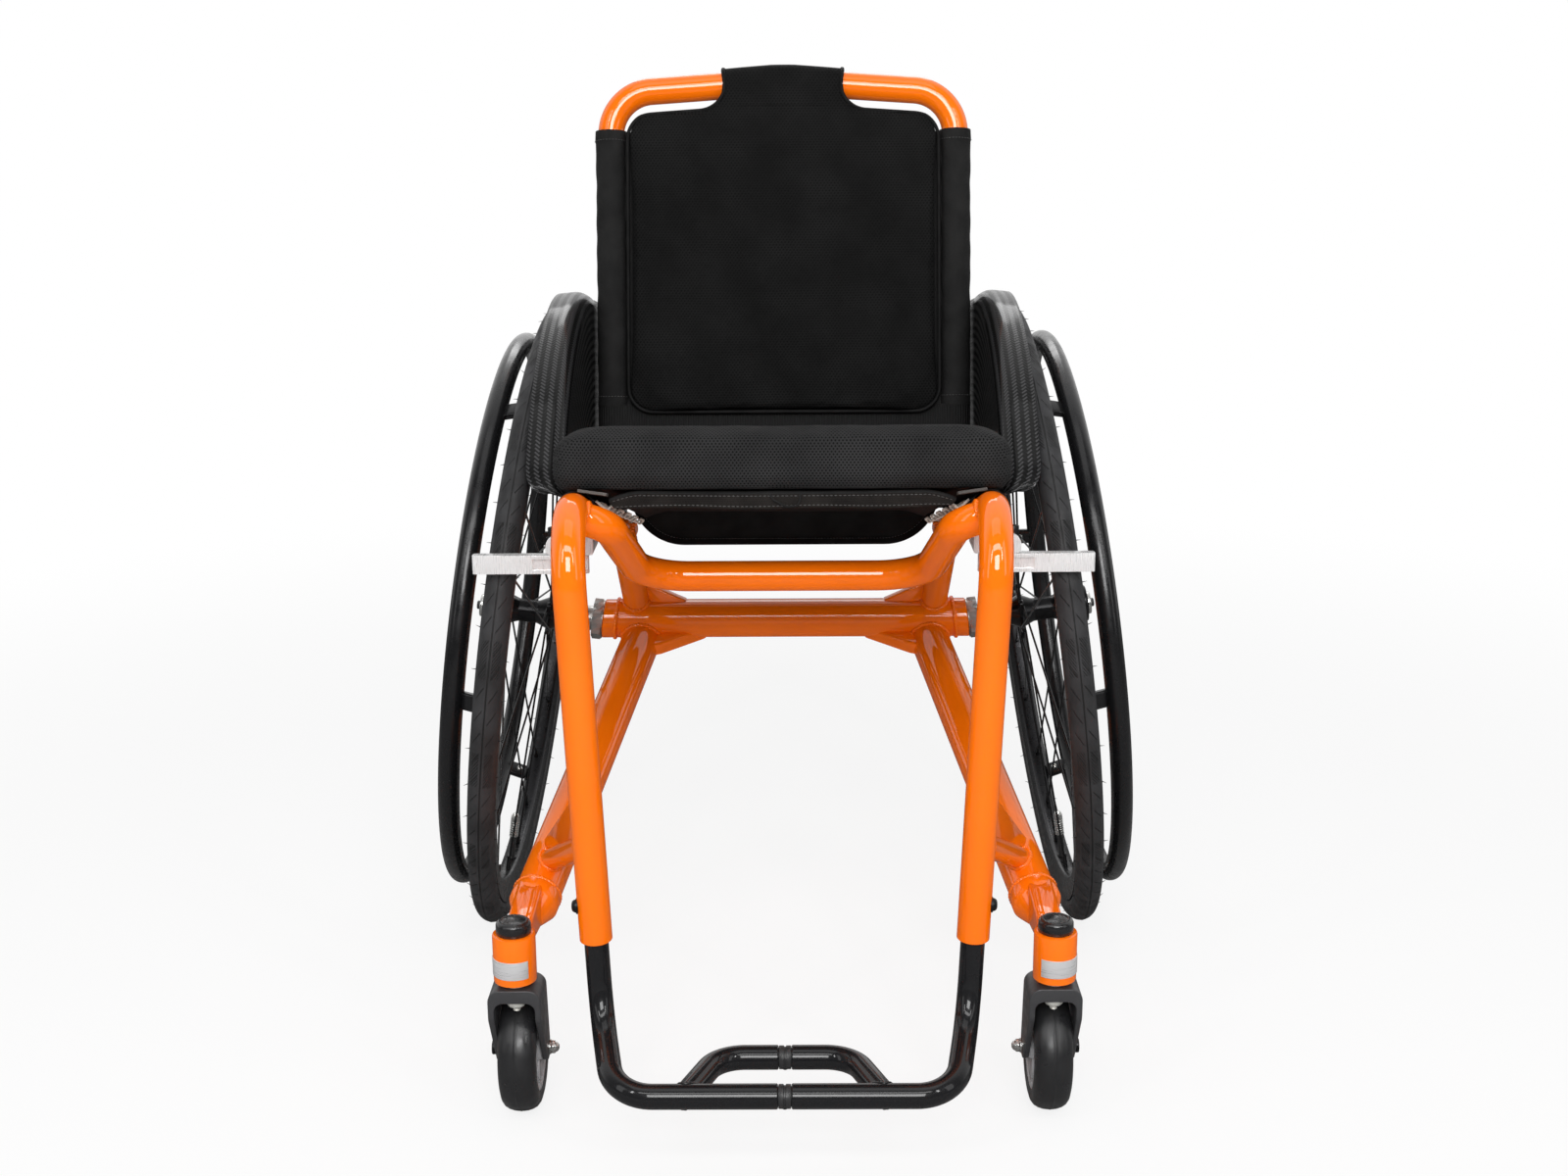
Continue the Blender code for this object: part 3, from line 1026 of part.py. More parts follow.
lock_frames = paired_empties("lock_pivot", (LOCK_PIVOT_X, pivot_y, LOCK_Z))
lock_outline = rounded(rectangle(LOCK_INNER_X - LOCK_PIVOT_X, LOCK_OUTER_X - LOCK_PIVOT_X,
                                 -LOCK_DEPTH / 2, LOCK_DEPTH / 2),
                       (0.0045, 0.002, 0.003, 0.0045), 3, closed=True)
lock_bar = slab(lock_outline, -LOCK_HEIGHT / 2, LOCK_HEIGHT / 2, "Z")
pocket = slab(rectangle(-0.02, 0.0225, -0.0042, 0.0042), -LOCK_DEPTH, -LOCK_DEPTH / 2 + 0.0022, "Y")
lock_bar = cut(bevelled(lock_bar, 0.0008), pocket,
               rod((0, 0, -0.02), (0, 0, 0.02), LOCK_PIN_R + 0.0005))
finish_pair(lock_bar, "lock_bar", BRIGHT, lock_frames)
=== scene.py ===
# Sports wheelchair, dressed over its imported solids. Metres, +Z up. The chair faces -Y and its
# left side is at +X. Shapes are drawn with Y = 0 at the rear axle and then moved to the part's
# own origin, on the floor under the middle of its box.
from math import atan2, cos, pi, radians, sin, sqrt, tan

import bmesh
import bpy
from mathutils import Matrix, Vector


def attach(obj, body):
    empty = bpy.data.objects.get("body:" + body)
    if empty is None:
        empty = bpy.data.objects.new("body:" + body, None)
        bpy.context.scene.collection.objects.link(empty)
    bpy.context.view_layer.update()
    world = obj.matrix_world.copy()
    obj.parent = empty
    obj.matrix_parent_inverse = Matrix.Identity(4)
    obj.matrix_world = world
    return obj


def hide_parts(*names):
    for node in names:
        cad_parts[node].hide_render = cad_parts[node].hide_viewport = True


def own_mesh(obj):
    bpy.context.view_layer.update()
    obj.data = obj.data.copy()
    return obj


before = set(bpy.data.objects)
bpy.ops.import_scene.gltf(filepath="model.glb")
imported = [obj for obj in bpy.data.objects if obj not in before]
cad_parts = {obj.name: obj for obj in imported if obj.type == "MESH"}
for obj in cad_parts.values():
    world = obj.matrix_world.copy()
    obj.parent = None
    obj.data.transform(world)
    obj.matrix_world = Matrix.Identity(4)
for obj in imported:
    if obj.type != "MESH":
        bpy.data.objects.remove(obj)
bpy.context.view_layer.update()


# Camera
# It stands in front of the chair at the photograph's place, 14 degrees above the level, and
# looks a little to the chair's right.
AXLE_Y = 0.11575


def shift(x, y, z):
    return Matrix.Translation((x, y, z))


camera = bpy.data.objects.new("camera", bpy.data.cameras.new("camera"))
bpy.context.scene.collection.objects.link(camera)
camera.data.lens = 42.87
camera.data.sensor_width = 36.0
camera.matrix_world = (shift(0.0082, AXLE_Y - 1.787, 0.7707) @ Matrix.Rotation(radians(0.30), 4, "Z")
    @ Matrix.Rotation(radians(76.0), 4, "X") @ Matrix.Rotation(radians(-0.33), 4, "Z"))
bpy.context.scene.camera = camera
bpy.context.scene.view_settings.view_transform = "Standard"


# Floor, white surroundings and soft lamps
# A pale floor runs into a white world. The camera and mirrors see the white, and what lights
# the chair is a dimmer share of it, five large softboxes and three narrow strips.

def connect(tree, value, socket):
    """Links an output, or a node's first output, to a socket, or sets the socket to a plain value."""
    if isinstance(value, bpy.types.Node):
        value = value.outputs[0]
    if isinstance(value, bpy.types.NodeSocket):
        tree.links.new(value, socket)
    else:
        socket.default_value = value


def add(tree, kind, values=None, **settings):
    """A geometry, function or shader node with its settings, and with its sockets set or linked."""
    made = tree.nodes.new(kind if kind.startswith(("Geometry", "Function")) else "ShaderNode" + kind)
    for key, value in settings.items():
        setattr(made, key, value)
    for key, value in (values or {}).items():
        connect(tree, value, made.inputs[key])
    return made


def maths(tree, operation, *values):
    return add(tree, "Math", dict(enumerate(values)), operation=operation)


def eased(tree, value, low, high, first=0.0, last=1.0):
    """The value carried smoothly from one range to another."""
    return add(tree, "MapRange", {"Value": value, "From Min": low, "From Max": high, "To Min": first,
        "To Max": last}, interpolation_type="SMOOTHSTEP")


def blank(material):
    """The material's empty tree and its output node."""
    material.use_nodes = True
    tree = material.node_tree
    tree.nodes.clear()
    return tree, tree.nodes.new("ShaderNodeOutputMaterial")


world = bpy.data.worlds.new("studio")
bpy.context.scene.world = world
world.use_nodes = True
sky = world.node_tree
sky.nodes.clear()
rays = add(sky, "LightPath")
seen = maths(sky, "MAXIMUM", rays.outputs["Is Camera Ray"], rays.outputs["Is Transmission Ray"])
way = add(sky, "SeparateXYZ", {0: add(sky, "TexCoord").outputs["Generated"]})
backdrop = eased(sky, way.outputs["Y"], -0.2, 0.35, 0.12, 0.95)
dim = add(sky, "Mix", {0: rays.outputs["Is Glossy Ray"], 2: 0.25, 3: backdrop})
level = add(sky, "Mix", {0: seen, 2: dim, 3: 1.0})
surround = add(sky, "Background", {"Color": (1, 1, 1, 1), "Strength": level})
add(sky, "OutputWorld", {"Surface": surround})

floor_mesh = bpy.data.meshes.new("floor")
floor_mesh.from_pydata([(-9, -4, -0.0006), (9, -4, -0.0006), (9, 16, -0.0006), (-9, 16, -0.0006)], [],
    [(0, 1, 2, 3)])
floor = bpy.data.objects.new("floor", floor_mesh)
bpy.context.scene.collection.objects.link(floor)
pale = bpy.data.materials.new("pale_floor")
tree, out = blank(pale)
rays = add(tree, "LightPath")
floor_tone = add(tree, "MixRGB", {0: rays.outputs["Is Glossy Ray"], 1: (0.90, 0.90, 0.90, 1),
    2: (0.26, 0.26, 0.26, 1)})
lit = add(tree, "BsdfDiffuse", {"Color": floor_tone})
glow = add(tree, "Emission", {"Color": (1, 1, 1, 1), "Strength": 1.0})
spot = add(tree, "TexCoord").outputs["Object"]
reach = add(tree, "VectorMath", {0: spot}, operation="LENGTH")
fade = eased(tree, reach.outputs["Value"], 0.75, 2.2, 0.84, 1.0)
share = maths(tree, "MULTIPLY", rays.outputs["Is Camera Ray"], fade)
both_kinds = add(tree, "MixShader", {0: share, 1: lit, 2: glow})
connect(tree, both_kinds, out.inputs["Surface"])
floor_mesh.materials.append(pale)

for name, place, aim, width, height, power in (
        ("top_softbox", (0.0, -0.55, 2.7), (0.0, -0.05, 0.4), 1.9, 1.1, 6.0),
        ("left_softbox", (2.1, -1.5, 1.5), (0.05, -0.2, 0.4), 0.55, 1.9, 5.0),
        ("right_softbox", (-2.1, -1.5, 1.5), (-0.05, -0.2, 0.4), 0.55, 1.9, 5.0),
        ("front_softbox", (0.1, -3.3, 2.1), (0.0, -0.2, 0.4), 1.7, 1.2, 70.0),
        ("rear_softbox", (0.0, 2.4, 2.4), (0.0, 0.0, 0.4), 1.6, 1.0, 16.0),
        ("top_strip", (0.0, -1.70, 2.15), (0.0, -0.2, 0.4), 1.8, 0.34, 12.0),
        ("left_strip", (1.25, -1.75, 1.75), (0.1, -0.2, 0.4), 0.14, 0.7, 5.0),
        ("right_strip", (-1.25, -1.75, 1.75), (-0.1, -0.2, 0.4), 0.14, 0.7, 5.0)):
    lamp = bpy.data.lights.new(name, "AREA")
    lamp.shape = "RECTANGLE"
    lamp.size, lamp.size_y, lamp.energy = width, height, power
    holder = bpy.data.objects.new(name, lamp)
    holder.location = place
    holder.rotation_euler = (Vector(aim) - Vector(place)).to_track_quat("-Z", "Y").to_euler()
    bpy.context.scene.collection.objects.link(holder)


# Side tubes
# Each side of the frame is one bent aluminium tube, 25.4 mm across: front leg, knee and seat
# rail. It is powder coated in glossy orange, which pools a little in its grain.

def principled(name, colour, roughness, **values):
    """A new material with its Principled shader. Values are set on the sockets of these names."""
    found = bpy.data.materials.new(name)
    tree, out = blank(found)
    shader = add(tree, "BsdfPrincipled", {"Base Color": (*colour, 1.0), "Roughness": roughness})
    for key, value in values.items():
        shader.inputs[key.replace("_", " ")].default_value = value
    connect(tree, shader, out.inputs["Surface"])
    return found, tree, shader


def places(tree, scale=1.0, kind="Object"):
    """Object coordinates, or the piece's own map in metres, times a scale."""
    if kind == "Object":
        source = add(tree, "TexCoord").outputs["Object"]
    else:
        source = add(tree, "UVMap", uv_map="metres")
    return add(tree, "Mapping", {"Vector": source, "Scale": (scale, scale, scale)})


def noise(tree, scale, detail=2.0):
    """Soft noise over the surface."""
    return add(tree, "TexNoise", {"Vector": places(tree), "Scale": scale, "Detail": detail})


def ramped(tree, value, low, high, ends=(0.35, 0.65)):
    """Turns a value between the two ends into a colour between two."""
    ramp = add(tree, "ValToRGB", {"Fac": value})
    for element, place, colour in zip(ramp.color_ramp.elements, ends, (low, high)):
        element.position, element.color = place, (*colour, 1.0)
    return ramp


def vary(tree, shader, socket, low, high, scale, detail=2.0):
    """Drives a socket between two values, or two colours, by soft noise over the surface."""
    drift = noise(tree, scale, detail)
    if hasattr(low, "__len__"):
        driven = ramped(tree, drift, low, high)
    else:
        driven = add(tree, "MapRange", {"Value": drift, "From Min": 0.35, "From Max": 0.65, "To Min": low,
            "To Max": high})
    connect(tree, driven, shader.inputs[socket])


def roughen(tree, shader, height, strength, distance, under=None):
    """Adds a bump from a height to the shader, over an earlier bump where one is given."""
    bump = add(tree, "Bump", {"Height": height, "Strength": strength, "Distance": distance})
    if under is not None:
        connect(tree, under, bump.inputs["Normal"])
    connect(tree, bump, shader.inputs["Normal"])
    return bump


def surfaced(name, colour, roughness, varied, *grains, **values):
    """A material whose inputs vary, with bumps of noise by scale, detail, strength and distance."""
    found, tree, shader = principled(name, colour, roughness, **values)
    for socket, given in varied.items():
        vary(tree, shader, socket, *given)
    bump = None
    for scale, detail, strength, distance in grains:
        bump = roughen(tree, shader, noise(tree, scale, detail), strength, distance, bump)
    return found


orange = surfaced("orange_powder_coat", (0.97, 0.175, 0.002), 0.45,
    {"Base Color": ((0.955, 0.168, 0.0015), (0.98, 0.182, 0.003), 9.0), "Roughness": (0.34, 0.46, 60.0)},
    (420.0, 1.0, 0.05, 0.0003), (70.0, 2.0, 0.035, 0.0012), Coat_Weight=0.7, Coat_Roughness=0.02,
    Coat_IOR=1.8, Specular_IOR_Level=0.0)

CHAIR = shift(0, AXLE_Y, 0)
MIRROR = Matrix.Scale(-1, 4, (1, 0, 0))


def as_object(mesh, name="work"):
    item = bpy.data.objects.new(name, mesh)
    bpy.context.scene.collection.objects.link(item)
    return item


def from_bmesh(shape, weld=1e-6):
    """Welds the shape, turns its faces outwards and makes it an object."""
    bmesh.ops.remove_doubles(shape, verts=shape.verts, dist=weld)
    bmesh.ops.recalc_face_normals(shape, faces=shape.faces)
    mesh = bpy.data.meshes.new("work")
    shape.to_mesh(mesh)
    shape.free()
    return as_object(mesh)


def settled(item):
    """The object with its modifiers, or its curve, turned into a plain mesh."""
    graph = bpy.context.evaluated_depsgraph_get()
    mesh = bpy.data.meshes.new_from_object(item.evaluated_get(graph), depsgraph=graph)
    bpy.data.objects.remove(item)
    return as_object(mesh)


def moved(item, matrix):
    item.data.transform(matrix)
    if matrix.determinant() < 0:
        item.data.flip_normals()
    return item


def mirrored(item):
    return moved(as_object(item.data.copy()), MIRROR)


def together(*items):
    """One object that holds all of these meshes, each as it is."""
    shape = bmesh.new()
    for item in items:
        shape.from_mesh(item.data)
    materials = [m for item in items for m in item.data.materials]
    for item in items:
        bpy.data.objects.remove(item)
    mesh = bpy.data.meshes.new("work")
    shape.to_mesh(mesh)
    shape.free()
    for material in dict.fromkeys(materials):
        mesh.materials.append(material)
    return as_object(mesh)


def rounded(points, radii, steps, closed=False):
    """The points' path with each corner turned into an arc of its radius."""
    points = [Vector(p).to_3d() for p in points]
    count = len(points)
    if not hasattr(radii, "__len__"):
        radii = [radii] * count
    path = []
    for i, corner in enumerate(points):
        if radii[i] <= 0 or (not closed and i in (0, count - 1)):
            path.append(corner)
            continue
        back = (points[i - 1] - corner).normalized()
        ahead = (points[(i + 1) % count] - corner).normalized()
        turn = pi - back.angle(ahead)
        if turn < 1e-4:
            path.append(corner)
            continue
        reach = radii[i] * tan(turn / 2)
        middle = corner + (back + ahead).normalized() * radii[i] / cos(turn / 2)
        first = corner + back * reach - middle
        last = corner + ahead * reach - middle
        for k in range(steps + 1):
            share = k / steps
            arc = (first * sin((1 - share) * turn) + last * sin(share * turn)) / sin(turn)
            path.append(middle + arc)
    return path


def angles(count):
    """The angles of this many places round a circle."""
    return [2 * pi * k / count for k in range(count)]


def circle(radius, sides=36):
    return [(radius * cos(a), radius * sin(a)) for a in angles(sides)]


def square(left, right, low, high):
    return [(left, low), (right, low), (right, high), (left, high)]


def mapped(shape, layer, corners, across, up):
    """A face through these vertices, with its place on the map."""
    for loop, spot in zip(shape.faces.new(corners).loops, zip(across, up)):
        loop[layer].uv = spot


def swept(path, section, closed=False, up=None, sizes=None):
    """Carries a closed section of (across, up) pairs along a path. Its map is in metres: along, round."""
    path = [Vector(p) for p in path]
    count, sides = len(path), len(section)
    tangents = []
    for i in range(count):
        before = path[i - 1] if closed or i else path[0]
        after = path[(i + 1) % count] if closed or i < count - 1 else path[-1]
        tangents.append((after - before).normalized())
    guide = Vector(up) if up else (Vector((0, 0, 1)) if abs(tangents[0].z) < 0.9 else Vector((0, 1, 0)))
    side = tangents[0].cross(guide).normalized()
    shape = bmesh.new()
    layer = shape.loops.layers.uv.new("metres")
    rings = []
    for i, (point, tangent) in enumerate(zip(path, tangents)):
        side = tangent.cross(guide) if up else side - tangent * side.dot(tangent)
        side.normalize()
        rise = side.cross(tangent)
        size = sizes[i] if sizes else 1.0
        rings.append([shape.verts.new(point + (side * a + rise * b) * size) for a, b in section])
    along = [0.0]
    for i in range(1, count + closed):
        along.append(along[-1] + (path[i % count] - path[i - 1]).length)
    round_it = [0.0]
    for k in range(sides):
        first, second = section[k], section[(k + 1) % sides]
        round_it.append(round_it[-1] + sqrt((first[0] - second[0]) ** 2 + (first[1] - second[1]) ** 2))
    for i in range(count if closed else count - 1):
        low, high = rings[i], rings[(i + 1) % count]
        for k in range(sides):
            mapped(shape, layer, (low[k], low[(k + 1) % sides], high[(k + 1) % sides], high[k]),
                   (along[i], along[i], along[i + 1], along[i + 1]),
                   (round_it[k], round_it[k + 1], round_it[k + 1], round_it[k]))
    if not closed:
        shape.faces.new(rings[0])
        shape.faces.new(list(reversed(rings[-1])))
    return from_bmesh(shape, 1e-7)


def bar(path, radius, sides=36, broken=0.0007):
    """A round bar along a path, with the edges of its ends broken."""
    path = [Vector(p) for p in path]
    first = (path[1] - path[0]).normalized() * broken
    last = (path[-2] - path[-1]).normalized() * broken
    points = [path[0], path[0] + first] + path[1:-1] + [path[-1] + last, path[-1]]
    small = (radius - broken) / radius
    return swept(points, circle(radius, sides), sizes=[small] + [1.0] * (len(points) - 2) + [small])


def spun(profile, steps=72, foot=0.0):
    """Turns (radius, height over foot) pairs round Z. A profile that starts on the axis isn't closed."""
    profile = [(radius, foot + height) for radius, height in profile]
    shape = bmesh.new()
    layer = shape.loops.layers.uv.new("metres")
    widest = max(radius for radius, _ in profile)
    pairs = list(zip(profile, profile[1:])) + ([(profile[-1], profile[0])] if profile[0][0] > 0 else [])
    along = [0.0]
    for (r1, h1), (r2, h2) in pairs:
        along.append(along[-1] + sqrt((r1 - r2) ** 2 + (h1 - h2) ** 2))
    rings = [[shape.verts.new((r * cos(a), r * sin(a), h)) for r, h in profile] for a in angles(steps)]
    for k in range(steps):
        here, there = rings[k], rings[(k + 1) % steps]
        u1, u2 = (2 * pi * widest * j / steps for j in (k, k + 1))
        for i in range(len(pairs)):
            j = (i + 1) % len(profile)
            mapped(shape, layer, (here[i], there[i], there[j], here[j]), (u1, u2, u2, u1),
                   (along[i], along[i], along[i + 1], along[i + 1]))
    return from_bmesh(shape, 1e-7)


def finished(item, name, body, material, nodes=(), smooth=40):
    """Names a piece, puts it in the part's frame and fits it to its body and CAD nodes."""
    item.name = name
    item.data.name = name
    item.data.transform(CHAIR)
    if material is not None:
        item.data.materials.clear()
        item.data.materials.append(material)
    item.data.shade_smooth()
    item.data.set_sharp_from_angle(angle=radians(smooth))
    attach(item, body)
    if nodes:
        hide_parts(*nodes)
    return item


def both(item, name, body, material, nodes=(), smooth=40):
    """Finishes a piece of the left side and its mirror image. A % in a body or node is the side."""
    other = mirrored(item)
    for side, piece in (("left", item), ("right", other)):
        finished(piece, side + "_" + name, body.replace("%", side), material,
            [node.replace("%", side) for node in nodes], smooth)


TUBE_R = 0.0127
KNEE = Vector((0.1588, -0.4591, 0.5017))
LEG_END = Vector((0.1461, -0.4475, 0.1565))
LEG_AXIS = (KNEE - LEG_END).normalized()
SEAT_DUMP = radians(14.0)
RAIL_END_X, RAIL_END_Y = 0.160, 0.045


def rail(y):
    """The seat rail's centre at this distance behind the axle."""
    share = (y - KNEE.y) / (RAIL_END_Y - KNEE.y)
    return Vector((KNEE.x + (RAIL_END_X - KNEE.x) * share, y, KNEE.z - (y - KNEE.y) * tan(SEAT_DUMP)))


def leg(z):
    """The front leg's centre at this height."""
    return LEG_END + LEG_AXIS * ((z - LEG_END.z) / LEG_AXIS.z)


def aimed(place, direction, roll="Y"):
    """Takes +Z to a direction at a place."""
    turn = Vector(direction).to_track_quat("Z", roll).to_matrix().to_4x4()
    return Matrix.Translation(place) @ turn


side_path = rounded((leg(LEG_END.z + 0.010), KNEE, rail(RAIL_END_Y)), 0.05, 20)
side_tube = bar(side_path, TUBE_R, 40)
bore = 0.0103
mouth = spun([(bore, 0.0005), (bore + 0.0005, 0), (TUBE_R - 0.0006, 0), (TUBE_R, 0.0006), (TUBE_R, 0.012),
    (bore, 0.012)], 40)
moved(mouth, aimed(LEG_END, LEG_AXIS))
both(together(side_tube, mouth), "side_tube_coated", "frame", orange, ["%_side_tube"])


# Footrest clamp screws
# A black button-head screw in the outer side of each leg's foot pins the footrest's height.
black_screw = surfaced("blackened_screw", (0.018, 0.018, 0.019), 0.32, {"Roughness": (0.26, 0.42, 300.0)},
    Metallic=0.7)


def socket_screw(head_r, head, socket_r, steps=28):
    """A button head on Z with its hexagon socket, seated at height 0."""
    profile = [(0, -0.001), (head_r, -0.001), (head_r, head * 0.25), (head_r * 0.92, head * 0.6),
        (head_r * 0.72, head * 0.92), (socket_r * 1.25, head), (socket_r * 1.08, head)]
    dome = spun(profile + [(socket_r * 1.02, head - 0.0003), (socket_r * 1.02, head * 0.35),
        (0, head * 0.30)], steps)
    key = spun(square(socket_r * 0.99, socket_r * 1.10, head - 0.0004, head * 0.3), 6)
    return together(dome, key)


LEG_SCREW_Z = 0.1852
outward = Vector((1, 0, 0)) - LEG_AXIS * LEG_AXIS.x
screw_seat = aimed(leg(LEG_SCREW_Z) + outward.normalized() * TUBE_R, outward)
screw = moved(socket_screw(0.0052, 0.0042, 0.0021), screw_seat)
washer = moved(spun(square(0.003, 0.0062, -0.0008, 0.0007), 28), screw_seat)
both(together(screw, washer), "leg_screw", "frame", black_screw)


# Front crossbar
# One bent tube between the knees. It runs back and down from the rails' roots to a low middle
# span, clear of the calves, and is welded to both rails.
root = rail(-0.400) - Vector((0, 0, 0.006))
shoulder = Vector((0.134, -0.397, root.z - 0.006))
corner = Vector((0.118, -0.270, 0.403))
half_bar = [root, shoulder, corner]
bar_points = half_bar + [Vector((-p.x, p.y, p.z)) for p in reversed(half_bar)]
crossbar = bar(rounded(bar_points, (0, 0.028, 0.045, 0.045, 0.028, 0), 16), TUBE_R, 40)
finished(crossbar, "front_crossbar_coated", "frame", orange, ["front_crossbar"])


# Axle tube and its gussets
# A 38 mm tube across the chair carries both rear wheels. Its ends are cut square to the
# cambered axles. Folded gussets brace it to the uprights above and to the down tubes in front.
CAMBER = radians(7.2)
BIG_R = 0.019
AXLE_TUBE_Z, AXLE_TUBE_HALF = 0.295, 0.1795
DOWN_START = Vector((0.1399, 0.0, 0.2800))
DOWN_END = Vector((0.2053, -0.345, 0.1506))
DOWN_AXIS = (DOWN_END - DOWN_START).normalized()

UPRIGHT_HEAD = rail(-0.02) - Vector((0.002, 0, 0))
UPRIGHT_FOOT = Vector((0.144, 0, AXLE_TUBE_Z))
AXES = {
    "X": Matrix(((0, 0, 1, 0), (1, 0, 0, 0), (0, 1, 0, 0), (0, 0, 0, 1))),
    "Y": Matrix(((1, 0, 0, 0), (0, 0, 1, 0), (0, 1, 0, 0), (0, 0, 0, 1))),
    "Z": Matrix.Identity(4),
}


def slab(outline, low, high, axis, edge=0.0, segments=3, limit=40):
    """A flat outline extruded along an axis, its edges rounded. The pairs are (y, z), (x, z) or (x, y)."""
    shape = bmesh.new()
    face = shape.faces.new([shape.verts.new((p[0], p[1], low)) for p in outline])
    grown = bmesh.ops.extrude_face_region(shape, geom=[face])
    top = [part for part in grown["geom"] if isinstance(part, bmesh.types.BMVert)]
    bmesh.ops.translate(shape, vec=(0, 0, high - low), verts=top)
    bmesh.ops.transform(shape, matrix=AXES[axis], verts=shape.verts)
    item = from_bmesh(shape)
    return bevelled(item, edge, segments, limit) if edge else item


def bevelled(item, width, segments=3, limit=40):
    modifier = item.modifiers.new("edges", "BEVEL")
    modifier.width = width
    modifier.segments = segments
    modifier.limit_method = "ANGLE"
    modifier.angle_limit = radians(limit)
    modifier.use_clamp_overlap = True
    return settled(item)


axle_tube = bar([(-AXLE_TUBE_HALF, 0, 0), (-0.09, 0, 0), (0.09, 0, 0), (AXLE_TUBE_HALF, 0, 0)], BIG_R, 56)
for vertex in axle_tube.data.vertices:
    if abs(vertex.co.x) > 0.12:
        vertex.co.x -= (1 if vertex.co.x > 0 else -1) * vertex.co.z * tan(CAMBER)
moved(axle_tube, shift(0, 0, AXLE_TUBE_Z))
foot = AXLE_TUBE_Z + BIG_R - 0.003
upper_outline = rounded([(0.090, foot), (0.150, foot), (0.153, foot + 0.030), (0.130, foot + 0.018)],
    (0.002, 0.004, 0.004, 0.012), 6, closed=True)
upper_gusset = slab(upper_outline, -0.006, 0.006, "Y", 0.0028)
front_outline = rounded([(0.075, 0.0), (0.080, -0.006), (0.121, -0.031), (0.150, -0.041), (0.150, 0.0)],
    (0, 0.008, 0.010, 0, 0), 6, closed=True)
front_gusset = slab(front_outline, -0.007, 0.007, "Z", 0.0045, 4)
down_slope = atan2(DOWN_START.z - DOWN_END.z, DOWN_START.y - DOWN_END.y)
moved(front_gusset, shift(0, 0, DOWN_START.z + 0.002) @ Matrix.Rotation(down_slope, 4, "X"))
gussets = together(upper_gusset, front_gusset)
finished(together(axle_tube, mirrored(gussets), gussets), "axle_tube_coated", "frame",
    orange, ["axle_tube"])


# Uprights and down tubes
# A 25 mm upright stands on the axle tube under each seat rail, and a 38 mm down tube runs
# forwards and outwards from the axle tube to each caster.
both(bar([UPRIGHT_HEAD, UPRIGHT_FOOT], TUBE_R, 40), "upright_coated", "frame", orange,
     ["%_upright"])
both(bar([DOWN_START, DOWN_END], BIG_R, 56), "down_tube_coated", "frame", orange,
     ["%_down_tube"])


# Caster arms
# Each down tube ends in a collar. A square arm on it carries the upright housing in which the
# caster's stem turns, and a bare silver plate is wrapped round the housing.
CASTER_X, STEM_Y = 0.2105, -0.4447
HOUSING_R, HOUSING_LOW, HOUSING_HIGH = 0.0168, 0.1218, 0.161
COLLAR_R, COLLAR_LENGTH = 0.0205, 0.014
collar = spun([(0, 0.0003), (COLLAR_R - 0.002, 0.0003), (COLLAR_R - 0.0006, 0.0009), (COLLAR_R, 0.0024),
    (COLLAR_R, COLLAR_LENGTH - 0.001), (COLLAR_R - 0.001, COLLAR_LENGTH + 0.0012),
    (0.0150, COLLAR_LENGTH + 0.010), (0.0108, COLLAR_LENGTH + 0.018), (0, COLLAR_LENGTH + 0.018)], 56)
moved(collar, aimed(DOWN_END, DOWN_AXIS))
arm_root = DOWN_END + DOWN_AXIS * COLLAR_LENGTH
arm_outline = [(arm_root.y + 0.006, 0.166), (STEM_Y, HOUSING_HIGH - 0.0005), (STEM_Y, 0.146),
    (arm_root.y + 0.004, 0.131)]
arm_x = (CASTER_X + arm_root.x) / 2
arm = slab(arm_outline, arm_x - 0.0105, arm_x + 0.0105, "X", 0.0030, 4)
housing = spun([(0.0075, HOUSING_LOW), (HOUSING_R - 0.0012, HOUSING_LOW), (HOUSING_R - 0.0003,
    HOUSING_LOW + 0.0004), (HOUSING_R, HOUSING_LOW + 0.0013), (HOUSING_R, HOUSING_HIGH - 0.0013),
    (HOUSING_R - 0.0003, HOUSING_HIGH - 0.0004), (HOUSING_R - 0.0012, HOUSING_HIGH), (0.0075, HOUSING_HIGH)],
    56)
moved(housing, shift(CASTER_X, STEM_Y, 0))
both(together(collar, arm, housing), "caster_arm_coated", "frame", orange,
     ["%_caster_arm"])

silver_plate, tree, shader = principled("brushed_silver_plate", (0.86, 0.86, 0.87), 0.28, Metallic=0.6)
strokes = add(tree, "Mapping", {"Vector": places(tree), "Scale": (40.0, 40.0, 2600.0)})
brushed = add(tree, "TexNoise", {"Vector": strokes, "Scale": 1.0, "Detail": 2.0})
connect(tree, add(tree, "MapRange", {"Value": brushed, "To Min": 0.2, "To Max": 0.4}),
    shader.inputs["Roughness"])
roughen(tree, shader, brushed, 0.12, 0.0002)

plate_r, plate_low, plate_high, plate_reach = HOUSING_R + 0.0005, 0.1282, 0.1428, 1.17
shape = bmesh.new()
grid = [[shape.verts.new((plate_r * sin(a), -plate_r * cos(a), z)) for z in (plate_low, plate_high)]
        for a in (-plate_reach + 2 * plate_reach * k / 20 for k in range(21))]
for first, second in zip(grid, grid[1:]):
    shape.faces.new((first[0], second[0], second[1], first[1]))
bare_plate = from_bmesh(shape)
wall = bare_plate.modifiers.new("wall", "SOLIDIFY")
wall.thickness, wall.offset = 0.0005, -1.0
bare_plate = bevelled(settled(bare_plate), 0.0002, 2)
moved(bare_plate, shift(CASTER_X, STEM_Y, 0) @ Matrix.Rotation(radians(22), 4, "Z"))
both(bare_plate, "housing_plate", "frame", silver_plate)

